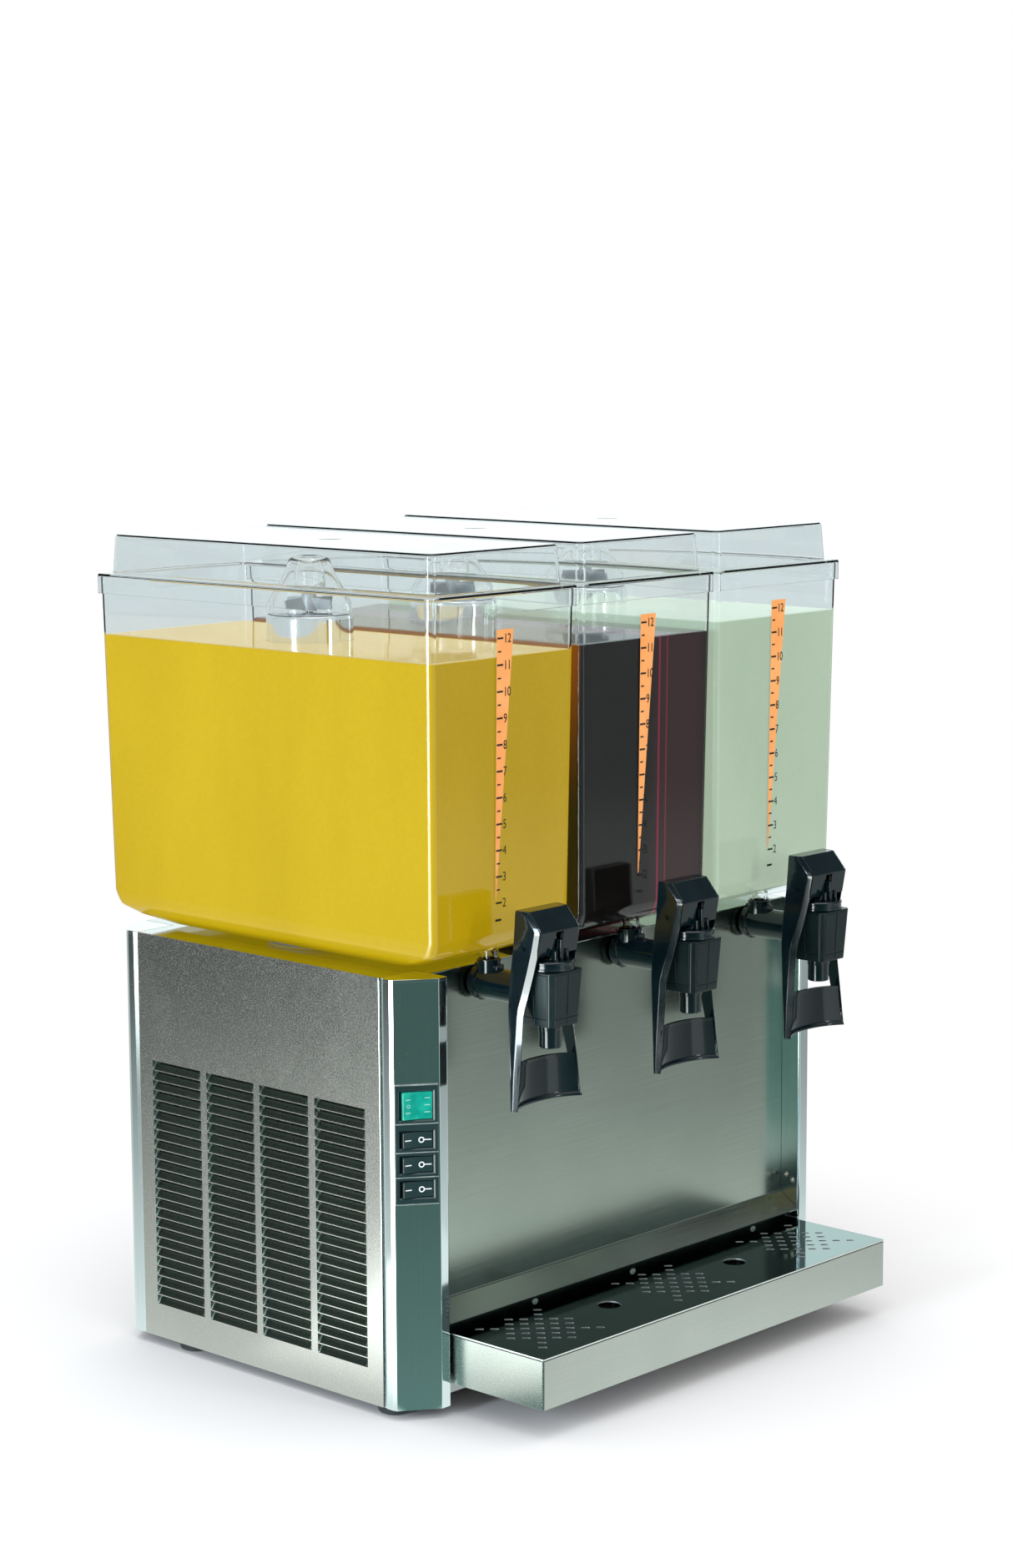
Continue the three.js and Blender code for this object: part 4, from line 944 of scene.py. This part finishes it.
def cover_sheet(outer, holes, low, high, rim=0.12):
    """The tray cover: a filled 2D curve given thickness and softened edges."""
    curve = bpy.data.curves.new("tray_cover_sheet", "CURVE")
    curve.dimensions = "2D"
    curve.fill_mode = "BOTH"
    for loop in [outer] + holes:
        spline = curve.splines.new("POLY")
        spline.points.add(len(loop) - 1)
        for point, (px, py) in zip(spline.points, loop):
            w = place((px, py, 0))
            point.co = (w.x, w.y, 0, 1)
        spline.use_cyclic_u = True
    curve.extrude = (high - low) / 2000 - rim / 1000
    curve.bevel_depth = rim / 1000
    curve.bevel_resolution = 1
    curve.offset = -rim / 1000
    mesh = flatten(curve)
    mesh.transform(Matrix.Translation((0, 0, (low + high) / 2000)))
    # flat faces take the dark cover steel, a painted dark reflection; slot walls and rims take the bright edge
    # steel, a painted highlight
    mesh.materials.append(COVER_STEEL_DARKENED)
    mesh.materials.append(EDGE_HIGHLIGHT_STEEL)
    obj = new_object("tray_cover_sheet", mesh)
    tidy_normals(obj, 8)
    for polygon in mesh.polygons:
        flat = abs(polygon.normal.z) > 0.98
        polygon.use_smooth = not flat
        polygon.material_index = 0 if flat else 1
    assign(obj, "tray_cover_body", ["drip_tray_cover"])


def slot_outline(cx, cy, length, width, angle):
    pts, corner, steps = [], 1.1, 4
    for sx, sy, start in ((1, 1, 0), (-1, 1, 1), (-1, -1, 2), (1, -1, 3)):
        for s in range(steps + 1):
            a = (start + s / steps) * math.pi / 2
            dx, dy = turned(sx * (length / 2 - corner) + corner * math.cos(a),
                sy * (width / 2 - corner) + corner * math.sin(a), angle)
            pts.append((cx + dx, cy + dy))
    return pts


def build_tray():
    middle, deep = (TRAY_FRONT + TRAY_BACK) / 2, (TRAY_BACK - TRAY_FRONT) / 2
    outer = [p[:2] for p in round_rect(0, middle, 0, TRAY_HALF, deep, 1.2, 4)]
    holes = []
    for centre in (-163.5, 0, 163.5):
        for column, rows in enumerate((1, 1, 5, 5, 9, 5, 5, 1, 1)):
            for row in range(rows):
                dx, dy = turned((column - 4) * 12, (row - (rows - 1) / 2) * 12, -math.pi / 4)
                holes.append(slot_outline(centre + dx, WELL_Y + dy, 6.6, 3.4, -math.pi / 4))
    for x in WELLS:
        angles = [i * math.pi / 18 for i in range(36)]
        holes.append([(x + 10 * math.cos(a), WELL_Y + 10 * math.sin(a)) for a in angles])
    cover_sheet(outer, holes, 65.1, 66.3)
    collar = [(10, 65), (10, 62.2), (10.5, 62), (10.9, 62.2), (10.9, 65), (10, 65)]
    flanges = [lathe(collar, x, WELL_Y) for x in WELLS]
    hx, hy = TRAY_HALF - 2.1, 55.1
    flanges.append(loft([round_rect(0, middle, z, hx - i, hy - i, r, 3)
        for z, i, r in ((59, 0, 2), (65.05, 0, 2), (65.05, 1.2, 1), (59, 1.2, 1))], closed=True))
    # the tabs take the bright edge steel: painted highlight
    tabs = [prism([(x - 3.4, 65.6), (x + 3.4, 65.6)] + half_round(x, 66.3, 3.4, 2.6), y - 0.6, y + 0.6,
        "y") for x, y in ((-113.8, -10.4), (2.3, -15.1), (168.9, -10.5))]
    make("tray_cover_tabs", tabs, EDGE_HIGHLIGHT_STEEL, "tray_cover_body", bevel=0.15)
    make("tray_cover_flanges", flanges, MIRROR_STEEL, "tray_cover_body")
    # (height, inset, corner radius), up the outside and down the inside
    levels = ((25, 0.9, 1.6), (25.25, 0.3, 1.8), (25.9, 0, 2), (64.2, 0, 2), (64.8, 0.4, 1.8),
        (64.8, 0.9, 1), (26.4, 1.2, 0.8))
    box = loft([round_rect(0, middle, z, TRAY_HALF - i, deep - i, r, 4) for z, i, r in levels])
    make("drip_tray_box", [box], TRAY_STEEL, "tray_body", ["drip_tray"])


# ------------------------------------------------------------------ taps
def tapered_box(levels, c):
    """Box through (height, half x, half y) levels, its upright edges cut back by c."""
    return loft([[(hx - c, hy, z), (-hx + c, hy, z), (-hx, hy - c, z), (-hx, -hy + c, z),
        (-hx + c, -hy, z), (hx - c, -hy, z), (hx, -hy + c, z), (hx, hy - c, z)] for z, hx, hy in levels])


def shift(part, dx, dy=0):
    return [(p[0] + dx, p[1] + dy, p[2]) for p in part[0]], part[1]


def valve_half(z):
    return 16.4 + 2.6 * (z - 317.5) / 43.0


def build_tap(side, x):
    body = side + "_bowl_set"
    valve = shift(tapered_box([(317.5, 16.4, 16.4), (319, 16.5, 16.5), (360.5, 19, 19)], 3), x, TAP_Y)
    make(side + "_valve_block", [valve], VALVE_BLACK, body, [side + "_tap_body"], bevel=0.5)
    # raised panels either side of the middle and a lower band, on each of the three open faces
    panels = []
    for turn in (0, 1, -1):
        for a, b in ((-14.6, -0.7), (0.7, 14.6)):
            for z0, z1 in ((325.2, 358.8), (319.2, 323.8)):
                k0, k1 = valve_half(z0), valve_half(z1)
                s0, s1 = k0 / 19, k1 / 19
                quad = [(a * s0, -k0 - 0.5, z0), (b * s0, -k0 - 0.5, z0), (b * s1, -k1 - 0.5, z1),
                    (a * s1, -k1 - 0.5, z1)]
                back = [(p[0], p[1] + 1.2, p[2]) for p in quad]
                panels.append(turn_part(loft([quad, back]), turn, x, TAP_Y))
    make(side + "_valve_panels", panels, VALVE_BLACK, body, bevel=0.3)
    spout = [(6.2, 298.9), (6.6, 298.5), (8.3, 298.5), (8.8, 299.1), (8.8, 312), (9.3, 312.8),
        (9.5, 318.5), (6.2, 318.5), (6.2, 298.9)]
    make(side + "_spout", [lathe(spout, x, TAP_Y, segments=40)], TAP_BLACK, body)
    tube = [(0, -1.5), (11.8, -1.5), (12.8, -2.5), (12.8, -5.6), (14, -5.8), (14.6, -6.6), (14.6, -9),
        (14, -9.8), (12.8, -10.2), (12.6, -24), (12.9, -44), (13.4, -58), (13.4, -64), (0, -64)]
    make(side + "_outlet_tube", [lathe(tube, x, 0, TUBE_Z, 48, "y")], TAP_BLACK, body)
    lugs = []
    for y in (-25, -5.2):
        wide = 4.4
        side_view = [(-wide, 345), (wide, 345), (wide, 355.2), (wide - 0.9, 356.3), (-wide + 0.9, 356.3),
            (-wide, 355.2)]
        lugs.append(shift(prism(side_view, y - 2.1, y + 2.1, "y"), x))
    collar = [(8, 345), (9.8, 345), (9.8, 359.6), (9.3, 360.4), (8.4, 360.4), (8, 359.8), (8, 345)]
    lugs.append(lathe(collar, x, NECK_Y, segments=36))
    make(side + "_tube_lugs", lugs, TAP_BLACK, body, bevel=0.5)
    build_bonnet(side, x)
    build_lever(side, x)
    stem = [(0, 322.8), (9.6, 322.8), (10, 323.2), (10, 326.2), (9, 327.4), (4.2, 329), (3, 330.2),
        (3, 382.6), (4.6, 383.6), (5, 384.2), (5, 387.2), (4.4, 388), (0, 388)]
    make(side + "_plunger_stem", [lathe(stem, x, TAP_Y, segments=32)], WHITE, side + "_plunger_body",
        [side + "_tap_plunger"])


def turn_part(part, quarter, dx, dy):
    """Turns a part about the upright axis by quarter turns, then moves it."""
    angle = quarter * math.pi / 2
    return shift(([(*turned(x, y, angle), z) for x, y, z in part[0]], part[1]), dx, dy)


def build_bonnet(side, x):
    ring = [(3.6, 360.8), (19, 360.8), (19.5, 361.3), (19.5, 362.6), (18.9, 363.1), (18.9, 365.9),
        (19.5, 366.4), (19.5, 367.6), (18.7, 368.5), (17, 368.8), (16.2, 368.5), (3.6, 368.5), (3.6, 360.8)]
    collar = [(3.5, 368.3), (11, 368.3), (11, 369.6), (10.4, 370.2), (5.4, 370.2), (5, 370.8), (5, 376.4),
        (4.6, 376.8), (3.5, 376.8), (3.5, 368.3)]
    parts = [lathe(ring, x, TAP_Y, segments=72), lathe(collar, x, TAP_Y, segments=40)]
    make(side + "_bonnet_ring", parts, TAP_BLACK, side + "_bowl_set", [side + "_tap_bonnet"])
    ears = []
    for a, b in ((-17, -13.4), (13.4, 17)):
        outline = half_round(PIVOT_Y, PIVOT_Z, 5.2, 5.2) + [(-81.5, 367), (-69.5, 367)]
        ears.append(shift(prism(outline, a, b), x))
    for dx, low, high, half in ((0, 367, 385, 1.5), (6.8, 367, 376.5, 1), (-6.8, 367, 376.5, 1)):
        ears.append(slab((x + dx - half, -92.6, low), (x + dx + half, -88.6, high)))
    make(side + "_bonnet_ears", ears, TAP_BLACK, side + "_bowl_set", bevel=0.5)


# height, front, back, outer face of a lever's arm
ARM = ((253, -79, -73, 39.3), (256, -79.1, -72.6, 38.9), (282, -78.5, -69, 35.5), (310, -77.6, -65, 32),
    (326, -77, -62.6, 29.9), (332, -77.6, -61.8, 29), (345, -80.5, -61, 27), (360, -84, -61.3, 25.4),
    (378, -88, -62.8, 24.1), (389, -90.4, -63.6, 24), (392.5, -90.8, -63.9, 24), (396, -88.2, -64.2, 24),
    (405.4, -79.8, -64.8, 24), (407.5, -77.2, -65.2, 23.6))


def build_lever(side, x):
    body = side + "_lever_body"
    arms = []
    for sign in (-1, 1):
        rings = []
        for z, front, back, outer in ARM:
            inner = outer - 2.8
            slope = min(5.2, (back - front) * 0.6)
            ring = [(inner, front + 0.5), (inner + 0.3, front), (inner + 0.7, front + 0.2),
                (outer - 0.35, front + slope - 0.5), (outer - 0.08, front + slope + 0.2),
                (outer, front + slope + 1), (outer, back - 0.9), (outer - 0.6, back), (inner, back)]
            rings.append([(x + sign * px, py, z) for px, py in ring])
        arms.append(loft(rings))
    arm_mesh = make(side + "_lever_arms", arms, TAP_BLACK, body, [side + "_tap_lever"],
        smooth=25)
    bake_modifiers(arm_mesh)
    recess = [lathe([(0, sign * 22.9), (2.3, sign * 22.9), (2.3, sign * 28), (0, sign * 28)], x, PIVOT_Y,
        PIVOT_Z, 24, "x") for sign in (-1, 1)]
    carve(arm_mesh, recess, 40)
    head = rounded_path([(-87.2, 373), (-90.8, 392.3, 1.6), (-77.6, 407.3, 1.6), (-65, 407.5)], 1.6, 5)
    hood = thicken(head, -2.6)
    hood_mesh = make(side + "_lever_hood", [prism(hood, x - 22.4, x + 22.4)], TAP_BLACK, body,
        smooth=40)
    carve(hood_mesh, [slab((x - 4.2, -96, 365), (x + 4.2, -82, 391))], 40)
    add_bevel(hood_mesh, 0.35)
    make(side + "_lever_back", [slab((x - 21.1, -66.8, 372.5), (x + 21.1, -65, 406.4))], TAP_BLACK, body,
        bevel=0.3)
    pins = [lathe([(0, s * 12.7), (2, s * 12.7), (2.3, s * 13.1), (2.3, s * 22.6), (0, s * 22.6)], x,
        PIVOT_Y, PIVOT_Z, 24, "x") for s in (-1, 1)]
    make(side + "_lever_pins", pins, TAP_BLACK, body)
    build_push_plate(side, x, body)


def build_push_plate(side, x, body):
    steps = 24
    rings = []
    # (height, half width, move in y, thickness)
    rows = ((253, 37.4, -1.9, 4.6), (254.6, 37.2, -1.9, 4.6), (255.6, 37, -0.9, 3.6),
        (256.6, 36.9, 0, 2.4), (284.8, 33.8, 0, 2.4), (286.2, 33.6, -0.3, 2.9), (288, 33.4, -0.3, 2.9))
    for z, half, move, thick in rows:
        front, back = [], []
        for i in range(steps + 1):
            t = -1 + 2 * i / steps
            bow = 12.0 * (1 - abs(t) ** 2.3)
            front.append((x + half * t, -77.5 + bow + move, z))
            back.append((x + half * t, -77.5 + bow + move + thick, z))
        rings.append(front + back[::-1])
    make(side + "_push_plate", [loft(rings)], TAP_BLACK, body, bevel=0.3, smooth=40)


# ------------------------------------------------------------------ stage, light and camera
def reflected(tree):
    """1 for a mirror ray, 0 for a ray that came through clear plastic."""
    path = tree.nodes.new("ShaderNodeLightPath")
    straight = chain(tree, "SUBTRACT", 1, path.outputs["Is Transmission Ray"])
    return chain(tree, "MULTIPLY", path.outputs["Is Glossy Ray"], straight)


def backdrop(tree):
    """White, or a pale blue-grey for a ray that came through clear plastic."""
    through = tree.nodes.new("ShaderNodeLightPath").outputs["Is Transmission Ray"]
    return tones(tree, through, (1, 1, 1), (0.66, 0.75, 0.77))


def build_floor():
    """Pale paper to the camera. Mirror rays see bright and dark areas, painted by place on the floor."""
    size = 30.0
    mesh = bpy.data.meshes.new("floor")
    mesh.from_pydata([(-size, -size, 0), (size, -size, 0), (size, size, 0), (-size, size, 0)], [],
        [(0, 1, 2, 3)])
    n = Nodes("floor_paper")
    t = n.tree
    n.set(Roughness=0.9, Specular_IOR_Level=0, Base_Color=(0.93, 0.93, 0.93, 1))
    radius = vector_math(t, "LENGTH", n.where)
    heading = vector_math(t, "NORMALIZE", n.where)
    # beyond the pool of light round the machine the paper is evenly white
    even = join(t, "MixShader", ease(t, radius, 0.34, 0.80), n.shader, emission(t, backdrop(t)))
    # far off, it falls off in different ways to each side
    right = ease(t, towards(t, heading, (0.72, -0.68, 0)), 0.25, 0.85)
    left = ease(t, towards(t, heading, (-0.72, 0.68, 0)), 0.25, 0.85)
    back = ease(t, towards(t, heading, (0.3, 0.95, 0)), 0.5, 0.95)
    side_card = ease(t, towards(t, heading, (-1, -0.02, 0)), 0.93, 0.975, 0, 14)
    front_card = ease(t, towards(t, heading, (0.12, -0.993, 0)), 0.975, 0.992, 0, 1)
    right = chain(t, "MULTIPLY", right, ease(t, radius, 2.2, 3.2, 1, 0.3))
    far = chain(t, "ADD", chain(t, "MULTIPLY_ADD", right, 0.36, 0.06), chain(t, "MULTIPLY", left, 0.04))
    far = chain(t, "MAXIMUM", far, chain(t, "MULTIPLY", back, 0.65))
    far = chain(t, "MAXIMUM", far, chain(t, "MAXIMUM", side_card, front_card))
    # close by, it is bright, but for a darker lane that the corner post's slanted face looks along
    reach = chain(t, "MULTIPLY_ADD", left, 0.75, 0.95)
    close = chain(t, "DIVIDE", chain(t, "SUBTRACT", radius, 0.30), reach, clamp=True)
    close = chain(t, "POWER", chain(t, "SUBTRACT", 1, close, clamp=True), 1.6)
    lane = vector_math(t, "NORMALIZE", vector_math(t, "SUBTRACT", n.where, (-0.247, -0.128, 0)))
    dim = ease(t, towards(t, lane, (-0.46, -0.88, 0)), 0.72, 0.93, 1, 0.12)
    in_lane = chain(t, "SUBTRACT", 1, dim)
    close = chain(t, "MULTIPLY", close, dim)
    value = chain(t, "ADD", chain(t, "MULTIPLY", close, 1.05),
        chain(t, "MULTIPLY", far, chain(t, "SUBTRACT", 1, close)))
    # a ray that has met a mirror before sees it a little brighter
    depth = n.add("LightPath").outputs["Glossy Depth"]
    again = chain(t, "MULTIPLY", chain(t, "GREATER_THAN", depth, 1.5), 0.24)
    value = chain(t, "ADD", chain(t, "ADD", value, again), chain(t, "MULTIPLY", in_lane, 0.08))
    seen = emission(t, tones(t, in_lane, (0.93, 1, 0.965), (0.52, 1, 0.88)), value)
    t.links.new(join(t, "MixShader", reflected(t), even, seen), n.out)
    n.material.cycles.emission_sampling = "NONE"
    mesh.materials.append(n.material)
    new_object("floor", mesh)


def build_world():
    world = bpy.data.worlds.new("studio")
    bpy.context.scene.world = world
    world.use_nodes = True
    world.cycles.sampling_method = "NONE"
    t = world.node_tree
    t.nodes.clear()
    out, seen, lit, where, split = (t.nodes.new("ShaderNode" + kind)
        for kind in ("OutputWorld", "Background", "Background", "TexCoord", "SeparateXYZ"))
    where = where.outputs["Generated"]
    t.links.new(where, split.inputs[0])
    height = split.outputs["Z"]
    up = ease(t, height, 0.62, 0.92, 0, 0.9)
    back = ease(t, towards(t, where, (0.45, 0.89, 0)), 0.35, 0.75, 0, 1.2)
    back = chain(t, "MULTIPLY", back, ease(t, height, 0.30, 0.55, 1, 0))
    side = ease(t, towards(t, where, (0.72, -0.68, 0)), 0.75, 0.95, 0, 0.15)
    side = chain(t, "MULTIPLY", side, ease(t, height, 0.25, 0.45, 1, 0))
    value = chain(t, "ADD", chain(t, "MAXIMUM", chain(t, "MAXIMUM", up, side), back), 0.10)
    t.links.new(backdrop(t), seen.inputs["Color"])
    lit.inputs["Color"].default_value = (0.93, 0.985, 1, 1)
    t.links.new(value, lit.inputs["Strength"])
    surface = join(t, "MixShader", reflected(t), seen.outputs[0], lit.outputs[0])
    t.links.new(surface, out.inputs["Surface"])


def area_light(name, location, target, width, height, power, colour=(1, 1, 1)):
    data = bpy.data.lights.new(name, "AREA")
    data.shape = "RECTANGLE"
    data.size, data.size_y = width, height
    data.energy = power
    data.color = colour
    lamp = new_object(name, data)
    lamp.location = location
    lamp.rotation_mode = "QUATERNION"
    lamp.rotation_quaternion = (Vector(target) - Vector(location)).to_track_quat("-Z", "Y")


def build_light():
    area_light("overhead", (0, -0.1, 2.4), (0, 0, 0.3), 2.2, 2.2, 14)
    area_light("strip_left", (-2.4, -0.1, 0.60), (0, 0, 0.35), 0.36, 1.1, 34, (0.78, 0.89, 1))
    area_light("strip_front", (0.35, -2.5, 0.85), (0, 0, 0.35), 0.25, 1, 7, (0.95, 0.98, 1))


def build_camera():
    """The photograph's own view, solved from points on the cabinet, bowls and tray."""
    data = bpy.data.cameras.new("photo_camera")
    camera = new_object("photo_camera", data)
    bpy.context.scene.camera = camera
    data.sensor_width = 36.0
    data.lens = 36.0 * 3849.23 / 1880.0
    data.clip_end = 100.0
    yaw, pitch, roll = math.radians(-46.949), math.radians(-8.254), math.radians(-0.338)
    forward = Vector((-math.sin(yaw) * math.cos(pitch), math.cos(yaw) * math.cos(pitch), math.sin(pitch)))
    level = forward.cross(Vector((0, 0, 1))).normalized()
    upright = level.cross(forward)
    right = level * math.cos(roll) + upright * math.sin(roll)
    up = upright * math.cos(roll) - level * math.sin(roll)
    turn = Matrix((right, up, -forward)).transposed().to_4x4()
    camera.matrix_world = Matrix.Translation(place((-1974, -1720, 858.5))) @ turn


def settings():
    scene = bpy.context.scene
    scene.view_settings.view_transform = "Standard"
    scene.view_settings.look = "None"
    scene.view_settings.exposure = 0.0
    # many bounces, because the view passes through one clear wall behind another
    for key, value in (("use_denoising", True), ("max_bounces", 40), ("transmission_bounces", 36),
            ("transparent_max_bounces", 48), ("glossy_bounces", 5), ("caustics_reflective", False),
            ("caustics_refractive", False), ("sample_clamp_indirect", 6)):
        setattr(scene.cycles, key, value)


build_camera()
build_bowls()
build_columns()
build_posts()
build_panel_flanges()
build_side_panels()
build_front_panel()
build_screws()
build_feet()
build_switches()
build_tray()
for side, x in SIDES:
    build_tap(side, x)
settle_shading()
build_floor()
build_world()
build_light()
settings()
